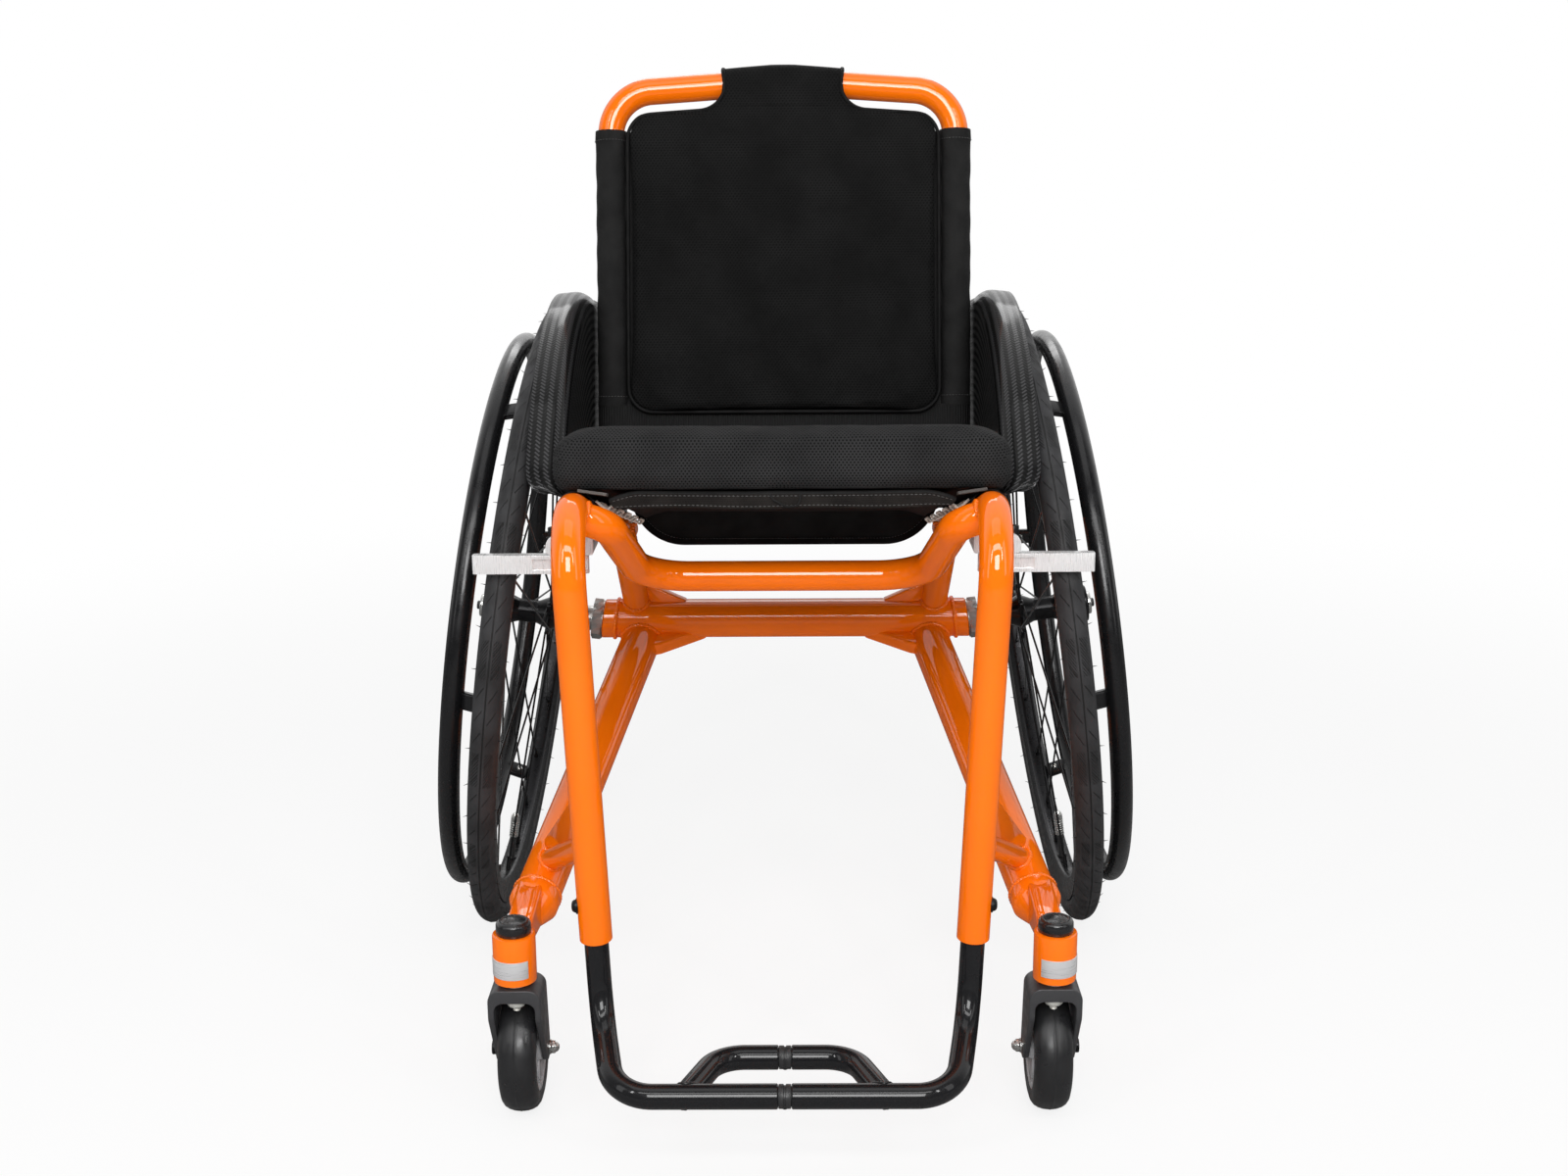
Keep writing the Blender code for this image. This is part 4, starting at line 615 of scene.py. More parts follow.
black_gloss = surfaced("black_gloss_plastic", (0.010, 0.010, 0.011), 0.26, {"Roughness": (0.20, 0.34, 160.0)},
    (900.0, 2.0, 0.05, 0.0003), Coat_Weight=0.3, Coat_Roughness=0.12)
cap_r, cap_top = 0.0138, HOUSING_HIGH + 0.0108
cap = spun([(0, HOUSING_HIGH + 0.0002), (cap_r - 0.0006, HOUSING_HIGH + 0.0002),
    (cap_r, HOUSING_HIGH + 0.0010), (cap_r - 0.0002, cap_top - 0.0030), (cap_r - 0.0009, cap_top - 0.0014),
    (cap_r - 0.0024, cap_top - 0.0004), (cap_r - 0.0036, cap_top), (cap_r - 0.0044, cap_top - 0.0002),
    (cap_r - 0.0050, cap_top - 0.0005), (0, cap_top - 0.0006)], 48)
moved(cap, shift(CASTER_X, STEM_Y, 0))
both(cap, "stem_cap_moulded", "frame", black_gloss, ["%_stem_cap"])


# Leg braces
# A short tube with a thin plate over it ties each down tube to its front leg.
brace_root = DOWN_START.lerp(DOWN_END, 0.91) + Vector((0.001, 0, 0.005))
brace_head, BRACE_R = leg(0.236), 0.0095
brace_tube = bar([brace_root, brace_head], BRACE_R, 32)
flat = Vector((brace_head.x - brace_root.x, brace_head.y - brace_root.y, 0))
rise = brace_head.z - brace_root.z
brace_plate = slab([(-0.002, 0.010), (flat.length, rise - 0.002), (flat.length, rise + 0.052),
    (-0.002, 0.019)], -0.002, 0.002, "Y", 0.0012)
moved(brace_plate, Matrix.Translation(brace_root) @ Matrix.Rotation(atan2(flat.y, flat.x), 4, "Z"))
both(together(brace_tube, brace_plate), "leg_brace_coated", "frame", orange,
     ["%_leg_brace"])


# Weld beads
# Every joint of the frame is welded by hand. The rippled bead runs round each seam, under the
# orange coat, and its thickness wanders along the seam.


def new_tree(name, **sockets):
    """A geometry tree on a path, with named inputs and a material. Gives tree, inputs and curve."""
    tree = bpy.data.node_groups.new(name, "GeometryNodeTree")
    for label, kind in {"Geometry": "Geometry", **sockets, "Material": "Material"}.items():
        tree.interface.new_socket(label.replace("_", " "), in_out="INPUT", socket_type="NodeSocket" + kind)
    tree.interface.new_socket("Geometry", in_out="OUTPUT", socket_type="NodeSocketGeometry")
    given = tree.nodes.new("NodeGroupInput").outputs
    return tree, given, add(tree, "GeometryNodeMeshToCurve", {"Mesh": given["Geometry"]})


def resampled(tree, line, length):
    return add(tree, "GeometryNodeResampleCurve", {"Curve": line, "Length": length}, mode="LENGTH")


def ending(tree, given, geometry):
    """Ends a tree: its instances are made real, shaded and given the Material input."""
    real = add(tree, "GeometryNodeRealizeInstances", {"Geometry": geometry})
    shaded = add(tree, "GeometryNodeSetShadeSmooth", {"Geometry": real})
    painted = add(tree, "GeometryNodeSetMaterial", {"Geometry": shaded, "Material": given["Material"]})
    connect(tree, painted, tree.nodes.new("NodeGroupOutput").inputs[0])


def grown(item, tree, **values):
    """The plain mesh that a geometry tree makes of an object, with these inputs set."""
    modifier = item.modifiers.new("grown", "NODES")
    modifier.node_group = tree
    for socket in tree.interface.items_tree:
        if socket.item_type == "SOCKET" and socket.in_out == "INPUT":
            key = socket.name.replace(" ", "_")
            if key in values:
                modifier[socket.identifier] = values[key]
    return settled(item)


def polylines(paths):
    """A mesh of edges along each (points, closed) path."""
    points, edges = [], []
    for path, closed in paths:
        first = len(points)
        points += [tuple(p) for p in path]
        edges += [(first + k, first + k + 1) for k in range(len(path) - 1)]
        if closed:
            edges.append((len(points) - 1, first))
    mesh = bpy.data.meshes.new("paths")
    mesh.from_pydata(points, edges, [])
    return as_object(mesh)


weld_tree, given, line = new_tree("weld_bead", Bead_Radius="Float", Ripple="Float", Pitch="Float")
run = add(weld_tree, "GeometryNodeSplineParameter").outputs["Length"]
phase = maths(weld_tree, "MULTIPLY", maths(weld_tree, "DIVIDE", run, given["Pitch"]), 2 * pi)
bulge = maths(weld_tree, "MULTIPLY_ADD", maths(weld_tree, "SINE", phase), given["Ripple"], 1.0)
wander = add(weld_tree, "TexNoise", {"Scale": 160.0, "Detail": 0.0})
uneven = maths(weld_tree, "MULTIPLY_ADD", wander, 0.5, bulge)
ring = add(weld_tree, "GeometryNodeCurvePrimitiveCircle", {"Resolution": 12, "Radius": 1.0})
bead = add(weld_tree, "GeometryNodeCurveToMesh", {
    "Curve": resampled(weld_tree, line, 0.0007), "Profile Curve": ring, "Fill Caps": True,
    "Scale": maths(weld_tree, "MULTIPLY", uneven, given["Bead Radius"])})
ending(weld_tree, given, bead)


def seam(start, direction, radius, point, line, big_r, inset=0.0, steps=64, arc=(0, 2 * pi)):
    """Where a bar of one radius, running on from its start, first meets another bar's surface."""
    start, direction = Vector(start), Vector(direction).normalized()
    point, line = Vector(point), Vector(line).normalized()
    side = direction.orthogonal().normalized()
    other = direction.cross(side)
    path = []
    for k in range(steps):
        a = arc[0] + (arc[1] - arc[0]) * k / steps
        spot = start + (side * cos(a) + other * sin(a)) * (radius + inset)
        away = spot - point
        away -= line * away.dot(line)
        slope = direction - line * direction.dot(line)
        half = away.dot(slope)
        steepness = slope.length_squared
        rest = half * half - steepness * (away.length_squared - (big_r + inset) ** 2)
        reach = (-half - sqrt(max(rest, 0.0))) / steepness
        path.append(spot + direction * reach)
    return path, True


X_AXIS, ORIGIN = Vector((1, 0, 0)), Vector((0, 0, AXLE_TUBE_Z))
rail_line = (rail(RAIL_END_Y) - KNEE).normalized()
seams = [
    seam(shoulder, root - shoulder, TUBE_R, KNEE, rail_line, TUBE_R, 0.0003),
    seam(UPRIGHT_FOOT, UPRIGHT_HEAD - UPRIGHT_FOOT, TUBE_R, KNEE, rail_line, TUBE_R, 0.0003),
    seam(UPRIGHT_HEAD, UPRIGHT_FOOT - UPRIGHT_HEAD, TUBE_R, ORIGIN, X_AXIS, BIG_R, 0.0003),
    seam(DOWN_END, DOWN_START - DOWN_END, BIG_R, ORIGIN, X_AXIS, BIG_R, 0.0003),
    seam(brace_head, brace_root - brace_head, BRACE_R, DOWN_END, DOWN_AXIS, BIG_R, 0.0003),
    seam(brace_root, brace_head - brace_root, BRACE_R, LEG_END, LEG_AXIS, TUBE_R, 0.0003),
]
seams.append(([aimed(DOWN_END, DOWN_AXIS) @ Vector((BIG_R * cos(a), BIG_R * sin(a), 0.0))
    for a in angles(64)], True))
seams.append(([Vector((AXLE_TUBE_HALF - 0.013 - sin(a) * BIG_R * tan(CAMBER), BIG_R * cos(a),
    AXLE_TUBE_Z + BIG_R * sin(a))) for a in angles(64)], True))
beads = grown(polylines(seams), weld_tree, Bead_Radius=0.0015, Ripple=0.16, Pitch=0.0030, Material=orange)
both(beads, "weld_beads", "frame", orange)


# Footrest
# Two bent tubes telescope in the legs and meet in the middle, with a second, narrower bar welded
# behind the front one. The black coat is glossy, and the cut ends are filed smooth.
FOOT_R = 0.0095
black_coat = surfaced("black_powder_coat", (0.010, 0.010, 0.011), 0.30, {"Roughness": (0.20, 0.32, 90.0)},
    (480.0, 1.0, 0.03, 0.0003), (80.0, 1.0, 0.03, 0.0010), Coat_Weight=0.6, Coat_Roughness=0.03,
    Specular_IOR_Level=0.1)

FOOT_Y, FOOT_Z, REAR_Y, REAR_Z, SPLIT = -0.527, 0.0656, -0.462, 0.063, 0.010
foot_path = rounded((leg(LEG_END.z + 0.145), leg(0.092), (0.128, FOOT_Y, FOOT_Z),
    (SPLIT / 2, FOOT_Y, FOOT_Z)), (0, 0.045, 0.035, 0), 18)
rear_path = rounded(((0.074, FOOT_Y + 0.003, FOOT_Z - 0.0003), (0.052, REAR_Y, REAR_Z),
    (SPLIT / 2, REAR_Y, REAR_Z)), (0, 0.030, 0), 16)
foot_bar, rear_bar = bar(foot_path, FOOT_R, 40, 0.0009), bar(rear_path, FOOT_R, 40, 0.0009)
rear_way = rear_path[1] - rear_path[0]
foot_seam = seam(rear_path[2], -rear_way, FOOT_R, (0, FOOT_Y, FOOT_Z), X_AXIS, FOOT_R, 0.0002)
foot_bead = grown(polylines([foot_seam]), weld_tree, Bead_Radius=0.0009, Ripple=0.14, Pitch=0.0028,
    Material=black_coat)
both(together(foot_bar, rear_bar, foot_bead), "footrest_coated", "%_footrest_half",
     black_coat, ["%_footrest"])

# The halves are held in line by two black sleeves inside them, each with a small screw below.
satin_plastic = surfaced("satin_black_plastic", (0.022, 0.022, 0.023), 0.42,
    {"Roughness": (0.36, 0.50, 240.0)}, (1500.0, 2.0, 0.10, 0.0002))
for name, half, y, z in (("front", 0.034, FOOT_Y, FOOT_Z), ("rear", 0.022, REAR_Y, REAR_Z)):
    joiner_r, tip = 0.0076, SPLIT / 2 - 0.0003
    ridge = [(0, -half), (joiner_r - 0.001, -half), (joiner_r, -half + 0.001), (joiner_r, -tip),
        (joiner_r + 0.0012, -tip), (joiner_r + 0.0015, -tip + 0.0005), (joiner_r + 0.0015, -0.0010),
        (joiner_r + 0.0006, -0.0006)]
    sleeve = spun(ridge + [(r, -h) for r, h in reversed(ridge)], 40)
    moved(sleeve, shift(0, y, z) @ Matrix.Rotation(pi / 2, 4, "Y"))
    screw = moved(socket_screw(0.0026, 0.0014, 0.0011, 20), shift(0, y, z - joiner_r - 0.0011)
        @ Matrix.Rotation(pi, 4, "X"))
    finished(together(sleeve, screw), name + "_joiner_moulded", "left_footrest_half",
        satin_plastic, [name + "_joining_sleeve"])


# Caster forks and stems
# Each fork is a satin black aluminium bow over its wheel. The bright stem turns in the housing's
# bearings, and a domed nut with the thread's end showing holds it under the crown.
TRAIL, CASTER_R, CASTER_WIDTH = 0.0257, 0.050, 0.030
FORK_WIDTH, FORK_LEG, FORK_DEPTH, LEG_TIP = 0.0415, 0.0048, 0.028, 0.016
CROWN_TOP, CROWN_LOW = 0.118, 0.107
satin_black = surfaced("satin_black_anodised", (0.052, 0.052, 0.055), 0.42,
    {"Roughness": (0.34, 0.48, 140.0)}, (1800.0, 1.0, 0.12, 0.0002), Metallic=0.3)


def cut(body, *tools, operation="DIFFERENCE"):
    """The body with each tool taken out of it, or cut to what lies in the tool."""
    for tool in tools:
        modifier = body.modifiers.new("cut", "BOOLEAN")
        modifier.operation, modifier.solver, modifier.object = operation, "EXACT", tool
        body = settled(body)
        bpy.data.objects.remove(tool)
    return body


front_view = rounded(square(-FORK_WIDTH / 2, FORK_WIDTH / 2, CASTER_R - LEG_TIP / 2, CROWN_TOP),
    (0, 0, 0.010, 0.010), 10, closed=True)
inner_view = rounded(square(-FORK_WIDTH / 2 + FORK_LEG, FORK_WIDTH / 2 - FORK_LEG, -0.01, CROWN_LOW),
    (0, 0, 0.007, 0.007), 8, closed=True)
side_view = rounded([(-FORK_DEPTH / 2, CROWN_TOP + 0.01), (-FORK_DEPTH / 2, CROWN_LOW - 0.014),
    (TRAIL - LEG_TIP / 2, CASTER_R - LEG_TIP / 2), (TRAIL + LEG_TIP / 2, CASTER_R - LEG_TIP / 2),
    (FORK_DEPTH / 2 + 0.006, CROWN_TOP + 0.01)], (0, 0.012, 0.006, 0.006, 0), 8, closed=True)
fork = cut(slab(front_view, -0.06, 0.06, "Y"), slab(inner_view, -0.07, 0.07, "Y"))
fork = bevelled(cut(fork, slab(side_view, -0.06, 0.06, "X"), operation="INTERSECT"), 0.0009, 3, 35)
PLACE_CASTER = shift(CASTER_X, STEM_Y, 0)
both(moved(fork, PLACE_CASTER), "caster_fork_anodised", "%_caster_swivel", satin_black,
     ["%_caster_fork"])

bright_steel = surfaced("zinc_plated_steel", (0.66, 0.66, 0.64), 0.24, {"Roughness": (0.16, 0.34, 260.0)},
    (700.0, 2.0, 0.08, 0.0002), Metallic=1.0)


def thread(radius, low, high, pitch=0.0008, steps=24):
    """A threaded bar's profile on Z, from low to high, with its ridges as rings."""
    count = int((high - low) / pitch)
    profile = [(0, low), (radius - 0.0004, low)]
    for k in range(count):
        profile += [(radius - 0.0003, low + k * pitch), (radius, low + (k + 0.5) * pitch)]
    return spun(profile + [(radius - 0.0003, high), (0, high)], steps)


def hex_nut(across, low, high):
    """A hexagonal nut on Z whose corners are turned off at both faces."""
    corner_r = across / 2 / cos(pi / 6)
    shape = bmesh.new()
    rows = []
    for height, limit in ((low, across / 2), (low + 0.0006, corner_r), (high - 0.0006, corner_r),
            (high, across / 2)):
        row = []
        for a in angles(48):
            flat = across / 2 / cos((a % (pi / 3)) - pi / 6)
            row.append(shape.verts.new((min(flat, limit + 0.0001) * cos(a),
                min(flat, limit + 0.0001) * sin(a), height)))
        rows.append(row)
    for first, second in zip(rows, rows[1:]):
        for k in range(48):
            shape.faces.new((first[k], first[(k + 1) % 48], second[(k + 1) % 48], second[k]))
    shape.faces.new(rows[0])
    shape.faces.new(rows[-1])
    return from_bmesh(shape, 1e-8)


stem_nut = spun([(0, -0.0078), (0.0040, -0.0078), (0.0064, -0.0070), (0.0078, -0.0050), (0.0080, -0.0036),
    (0.0080, -0.0003), (0, -0.0003)], 40, CROWN_LOW)
stem_end = thread(0.0030, CROWN_LOW - 0.0113, CROWN_LOW - 0.0070)
stem_rod = spun([(0, CROWN_LOW), (0.006, CROWN_LOW), (0.006, CROWN_TOP + 0.0003),
    (0.0095, CROWN_TOP + 0.0003), (0.0095, HOUSING_LOW - 0.0003), (0.006, HOUSING_LOW - 0.0003),
    (0.006, 0.159), (0, 0.159)], 32)
pale_zinc = surfaced("pale_passivated_zinc", (0.76, 0.75, 0.70), 0.34, {"Roughness": (0.28, 0.44, 300.0)},
    (900.0, 2.0, 0.08, 0.0002), Metallic=0.35)
both(moved(together(stem_nut, stem_end, stem_rod), PLACE_CASTER), "caster_stem_plated",
     "%_caster_swivel", pale_zinc, ["%_caster_stem"])

# The axle bolt's black socket head is on the outer side and its bright acorn nut on the inner.
AXLE_PLACE = PLACE_CASTER @ shift(0, TRAIL, CASTER_R) @ Matrix.Rotation(pi / 2, 4, "Y")
fork_face = FORK_WIDTH / 2 + 0.0003
acorn_profile = [(0, -0.0078), (0.0017, -0.0076), (0.0032, -0.0066), (0.0042, -0.0050), (0.0045, -0.0034),
    (0.0045, -0.0010), (0, -0.0010)]
acorn = together(spun(acorn_profile, 36, -fork_face),
    hex_nut(0.0100, -fork_face - 0.0042, -fork_face - 0.0010),
    spun(square(0.0030, 0.0058, -fork_face - 0.0010, -fork_face), 36),
    spun([(0, -fork_face), (0.004, -fork_face), (0.004, fork_face), (0, fork_face)], 24))
both(moved(acorn, AXLE_PLACE), "caster_axle_nut", "%_caster_swivel", bright_steel,
     ["%_caster_bolt"])
axle_head = spun([(0, 0), (0.0056, 0), (0.0058, 0.0003), (0.0058, 0.0036), (0.0054, 0.0040), (0.0026, 0.0040),
    (0.0024, 0.0038), (0.0024, 0.0016), (0, 0.0014)], 36, fork_face)
both(moved(axle_head, AXLE_PLACE), "caster_axle_head", "%_caster_swivel", black_screw)


# Caster wheels
# A glossy black polyurethane tread with a fine parting line is cast round a light grey plastic
# wheel of six arms.
caster_rubber = surfaced("polished_polyurethane", (0.014, 0.014, 0.015), 0.30,
    {"Roughness": (0.22, 0.46, 55.0, 4.0)}, (130.0, 3.0, 0.10, 0.0006))
half = CASTER_WIDTH / 2
tread_half = [(0.0342, half - 0.0008), (0.0350, half - 0.0001), (CASTER_R - 0.0096, half),
    (CASTER_R - 0.0062, half - 0.0010), (CASTER_R - 0.0036, half - 0.0030),
    (CASTER_R - 0.0018, half - 0.0060), (CASTER_R - 0.0007, half - 0.0095),
    (CASTER_R - 0.0003, half - 0.0125), (CASTER_R - 0.00025, 0.0007), (CASTER_R, 0.0003)]
tread = spun(tread_half + [(r, -s) for r, s in reversed(tread_half)], 96)
both(moved(tread, AXLE_PLACE), "caster_tyre_cast", "%_caster_wheel", caster_rubber,
     ["%_caster_tyre"])

grey_plastic = surfaced("light_grey_plastic", (0.42, 0.42, 0.43), 0.38,
    {"Base Color": ((0.38, 0.38, 0.39), (0.46, 0.46, 0.47), 60.0)}, (1400.0, 2.0, 0.10, 0.0002))
boss_half = FORK_WIDTH / 2 - FORK_LEG - 0.0006
wheel_ring = spun([(0.0285, half - 0.0016), (0.0290, half - 0.0011), (0.0337, half - 0.0011),
    (0.0338, -half + 0.0011), (0.0290, -half + 0.0011), (0.0285, -half + 0.0016)], 72)
wheel_boss = spun([(0.0044, boss_half), (0.0093, boss_half), (0.0098, boss_half - 0.0006), (0.0108, 0.010),
    (0.0108, -0.010), (0.0098, -boss_half + 0.0006), (0.0093, -boss_half), (0.0044, -boss_half)], 48)
web = spun(square(0.010, 0.029, 0.003, -0.003), 72)
arms = []
for a in angles(6):
    arm_section = slab(rounded(square(0.0095, 0.0295, -0.0022, 0.0022), 0, 1, closed=True),
        -half + 0.003, half - 0.003, "Z", 0.0006, 2)
    arms.append(moved(arm_section, Matrix.Rotation(a, 4, "Z")))
both(moved(together(wheel_ring, wheel_boss, web, *arms), AXLE_PLACE), "caster_hub_moulded",
     "%_caster_wheel", grey_plastic, ["%_caster_hub"])


# Camber plugs
# A steel plug with a hexagon nut screws into each end of the axle tube and sets the wheel's lean.
# The wheel's quick-release pin passes through it into the frame.
HUB_X, HUB_Z, PLUG_FACE = 0.2485, 0.302595, -0.069408
WHEEL = (shift(HUB_X, 0, HUB_Z) @ Matrix.Rotation(-CAMBER, 4, "Y") @ Matrix.Rotation(pi / 2, 4, "Y"))
grey_steel = surfaced("turned_grey_steel", (0.56, 0.55, 0.53), 0.32, {"Roughness": (0.26, 0.46, 180.0)},
    (900.0, 2.0, 0.14, 0.0002), Metallic=1.0)
plug_ring = spun([(0.0116, 0.0004), (0.0186, 0.0004), (0.0189, 0.0007), (0.0189, 0.0014), (0.0116, 0.0014)],
    56, PLUG_FACE)
plug_nut = hex_nut(0.036, PLUG_FACE + 0.0014, PLUG_FACE + 0.0108)
plug_sleeve = spun([(0.0070, PLUG_FACE - 0.016), (0.0112, PLUG_FACE - 0.016), (0.0114, PLUG_FACE + 0.0100),
    (0.0121, PLUG_FACE + 0.0108), (0.0121, -0.0470), (0.0116, -0.0465), (0.0070, -0.0465)], 48)
both(moved(together(plug_ring, plug_nut, plug_sleeve), WHEEL), "camber_plug_turned", "frame",
     grey_steel, ["%_camber_plug"])

HEAD_FACE, HEAD_END, PIN_R, BUTTON_R = 0.0495, 0.0530, 0.00635, 0.0042
axle_pin = spun([(0, PLUG_FACE - 0.014), (PIN_R - 0.001, PLUG_FACE - 0.014), (PIN_R, PLUG_FACE - 0.012),
    (PIN_R, HEAD_FACE), (0.0104, HEAD_FACE), (0.0110, HEAD_FACE + 0.0006), (0.0110, HEAD_END - 0.0009),
    (0.0107, HEAD_END - 0.0003), (0.0101, HEAD_END), (BUTTON_R + 0.0007, HEAD_END),
    (BUTTON_R + 0.0003, HEAD_END - 0.0004), (BUTTON_R + 0.0003, HEAD_END - 0.007), (0, HEAD_END - 0.007)], 48)
both(moved(axle_pin, WHEEL), "axle_pin_plated", "frame", bright_steel, ["%_axle_pin"])
button = spun([(0, -0.0034), (BUTTON_R, -0.0034), (BUTTON_R, 0.0025), (BUTTON_R - 0.0003, 0.0032),
    (BUTTON_R - 0.0010, 0.0035), (0.0020, 0.0033), (0, 0.0030)], 36, HEAD_END)
both(moved(button, WHEEL), "release_button_moulded", "%_axle_button", satin_plastic,
     ["%_release_button"])


# Tyres
# Narrow black slicks with a fine raised line round the middle and slanting cuts on the shoulders.
# The moulding hairs still stand on their sides.
TYRE_R, SECTION_R = 0.305, 0.0125
RING_R = TYRE_R - SECTION_R

rubber, tree, shader = principled("slick_tyre_rubber", (0.028, 0.028, 0.030), 0.64, Specular_IOR_Level=0.35)
vary(tree, shader, "Roughness", 0.52, 0.74, 80.0)
spot = add(tree, "SeparateXYZ", {0: places(tree, kind="UV")})
around, across = spot.outputs[0], spot.outputs[1]
girth = 2 * pi * (SECTION_R - 0.0003)
other_side = maths(tree, "SUBTRACT", girth, across)
from_middle = maths(tree, "MINIMUM", across, other_side)
side = maths(tree, "SIGN", maths(tree, "SUBTRACT", across, girth / 2))
slant = maths(tree, "MULTIPLY_ADD", maths(tree, "MULTIPLY", from_middle, side), 1.5, around)
long_cuts = maths(tree, "COSINE", maths(tree, "MULTIPLY", slant, 2 * pi / 0.020))
fine_cuts = maths(tree, "COSINE", maths(tree, "MULTIPLY", slant, 2 * pi / 0.0034))
patch = eased(tree, maths(tree, "COSINE", maths(tree, "MULTIPLY", around, 2 * pi / 0.1)), 0.45, 0.60)
shoulder_band = maths(tree, "MULTIPLY", eased(tree, from_middle, 0.0022, 0.0030),
    eased(tree, from_middle, 0.0105, 0.0090))
marks = maths(tree, "MAXIMUM", eased(tree, long_cuts, 0.955, 0.985),
    maths(tree, "MULTIPLY", eased(tree, fine_cuts, 0.2, 0.8), patch))
middle_line = eased(tree, from_middle, 0.0007, 0.0003)
cuts = maths(tree, "MAXIMUM", maths(tree, "MULTIPLY", marks, shoulder_band), middle_line)
depth = maths(tree, "MULTIPLY", cuts, -1.0)
tone = noise(tree, 34.0, 4.0)
# The cuts and the middle line, drawn as grooves, are painted darker than the rubber: painted shade in the
# grooves, over the rubber's random tone.
shade = ramped(tree, maths(tree, "MULTIPLY_ADD", cuts, -0.5, tone), (0.007, 0.007, 0.007),
    (0.034, 0.034, 0.036), (0.05, 0.65))
connect(tree, shade, shader.inputs["Base Color"])
first = roughen(tree, shader, noise(tree, 1100.0), 0.20, 0.0003)
roughen(tree, shader, depth, 0.9, 0.0008, first)

tyre_section = []
for a in angles(56):
    section_r = SECTION_R - (0.0003 if a else 0.0)
    tyre_section.append((RING_R + section_r * cos(a), section_r * sin(a)))
both(moved(spun(tyre_section, 192), WHEEL), "tyre_slick", "%_wheel", rubber, ["%_tyre"], 80)

hair_tree, given, line = new_tree("moulding_hairs", Pitch="Float", Length="Float", Thickness="Float",
    Direction="Vector")
hair = add(hair_tree, "GeometryNodeMeshCone", {"Vertices": 5, "Radius Top": 0.0001,
    "Radius Bottom": given["Thickness"], "Depth": given["Length"]})
facing = add(hair_tree, "FunctionNodeAlignRotationToVector", {"Vector": given["Direction"]}, axis="Z")
lean = add(hair_tree, "FunctionNodeRandomValue", {0: (-0.45, -0.45, 0.0), 1: (0.45, 0.45, 0.0), "Seed": 7},
    data_type="FLOAT_VECTOR")
lean_turn = add(hair_tree, "FunctionNodeEulerToRotation", {0: lean})
leaning = add(hair_tree, "FunctionNodeRotateRotation", {0: facing, 1: lean_turn}, rotation_space="LOCAL")
hairs = add(hair_tree, "GeometryNodeInstanceOnPoints", {
    "Points": resampled(hair_tree, line, given["Pitch"]), "Instance": hair, "Rotation": leaning})
ending(hair_tree, given, hairs)
hair_sets = []
for way in (-1, 1):
    ring_path = [Vector(((RING_R + 0.0020) * cos(a), (RING_R + 0.0020) * sin(a), way * (SECTION_R - 0.0006)))
        for a in (2 * pi * (k + 0.5 * (way > 0)) / 96 for k in range(96))]
    hair_sets.append(grown(polylines([(ring_path, True)]), hair_tree, Pitch=0.036, Length=0.0040,
        Thickness=0.00045, Direction=(0.0, 0.0, float(way)), Material=rubber))
both(moved(together(*hair_sets), WHEEL), "tyre_hairs", "%_wheel", rubber)


# Rims
# A deep aluminium section, rolled to a hoop and anodised satin black, with round inner edges.
RIM_OUT, RIM_IN = 0.2845, 0.2623
anodised = surfaced("black_anodised_aluminium", (0.030, 0.030, 0.032), 0.30,
    {"Roughness": (0.24, 0.38, 120.0)}, (1600.0, 1.0, 0.08, 0.0002), Metallic=0.85)
rim_half = [(RIM_IN, 0.0060), (RIM_OUT - 0.0135, 0.0105), (RIM_OUT, 0.0110), (RIM_OUT, 0.0100),
    (0.2795, 0.0060)]
rim_points = [(r, h) for r, h in rim_half] + [(r, -h) for r, h in reversed(rim_half)]
rim_radii = (0.0040, 0.0080, 0.0004, 0.0004, 0.0015)
rim_profile = [(p.x, p.y) for p in rounded(rim_points, rim_radii + rim_radii[::-1], 5, closed=True)]
both(moved(spun(rim_profile, 160), WHEEL), "rim_anodised", "%_wheel", anodised, ["%_rim"],
    50)


# Hubs and spokes
# A turned black hub has a six-armed flange near each end. Twenty-four straight spokes run from
# pairs of holes in the arms, cross their neighbours and end in nipples in the rim.
FLANGE_R, VALLEY_R = 0.0285, 0.0155
INNER_FLANGE, OUTER_FLANGE = -0.0165, 0.0295
gloss_anodised = surfaced("gloss_black_anodised", (0.016, 0.016, 0.017), 0.20,
    {"Roughness": (0.15, 0.27, 150.0)}, (1300.0, 2.0, 0.05, 0.0002), Metallic=0.6)


def outlined(loops, half_thickness, edge):
    """A flat plate on Z with round edges, from its outline and the outlines of its holes."""
    curve = bpy.data.curves.new("outline", "CURVE")
    curve.dimensions, curve.fill_mode = "2D", "BOTH"
    curve.extrude, curve.bevel_depth, curve.bevel_resolution = half_thickness - edge, edge, 2
    curve.offset = -edge
    for loop in loops:
        spline = curve.splines.new("POLY")
        spline.use_cyclic_u = True
        spline.points.add(len(loop) - 1)
        for point, (a, b) in zip(spline.points, loop):
            point.co = (a, b, 0.0, 1.0)
    item = settled(as_object(curve))
    shape = bmesh.new()
    shape.from_mesh(item.data)
    bpy.data.objects.remove(item)
    return from_bmesh(shape, 1e-6)


def star_flange(height, turn):
    mean, swing = (FLANGE_R + VALLEY_R) / 2, (FLANGE_R - VALLEY_R) / 2
    edge = []
    for a in angles(120):
        reach = mean + swing * cos(6 * a)
        edge.append((reach * cos(a + turn), reach * sin(a + turn)))
    loops = [edge]
    for a in (arm + turn for arm in angles(6)):
        slot = [(mean - 0.001 + 0.0042 * cos(b), 0.0026 * sin(b)) for b in angles(20)]
        loops.append([(x * cos(a) - y * sin(a), x * sin(a) + y * cos(a)) for x, y in slot])
    return moved(outlined(loops, 0.0020, 0.0005), shift(0, 0, height))


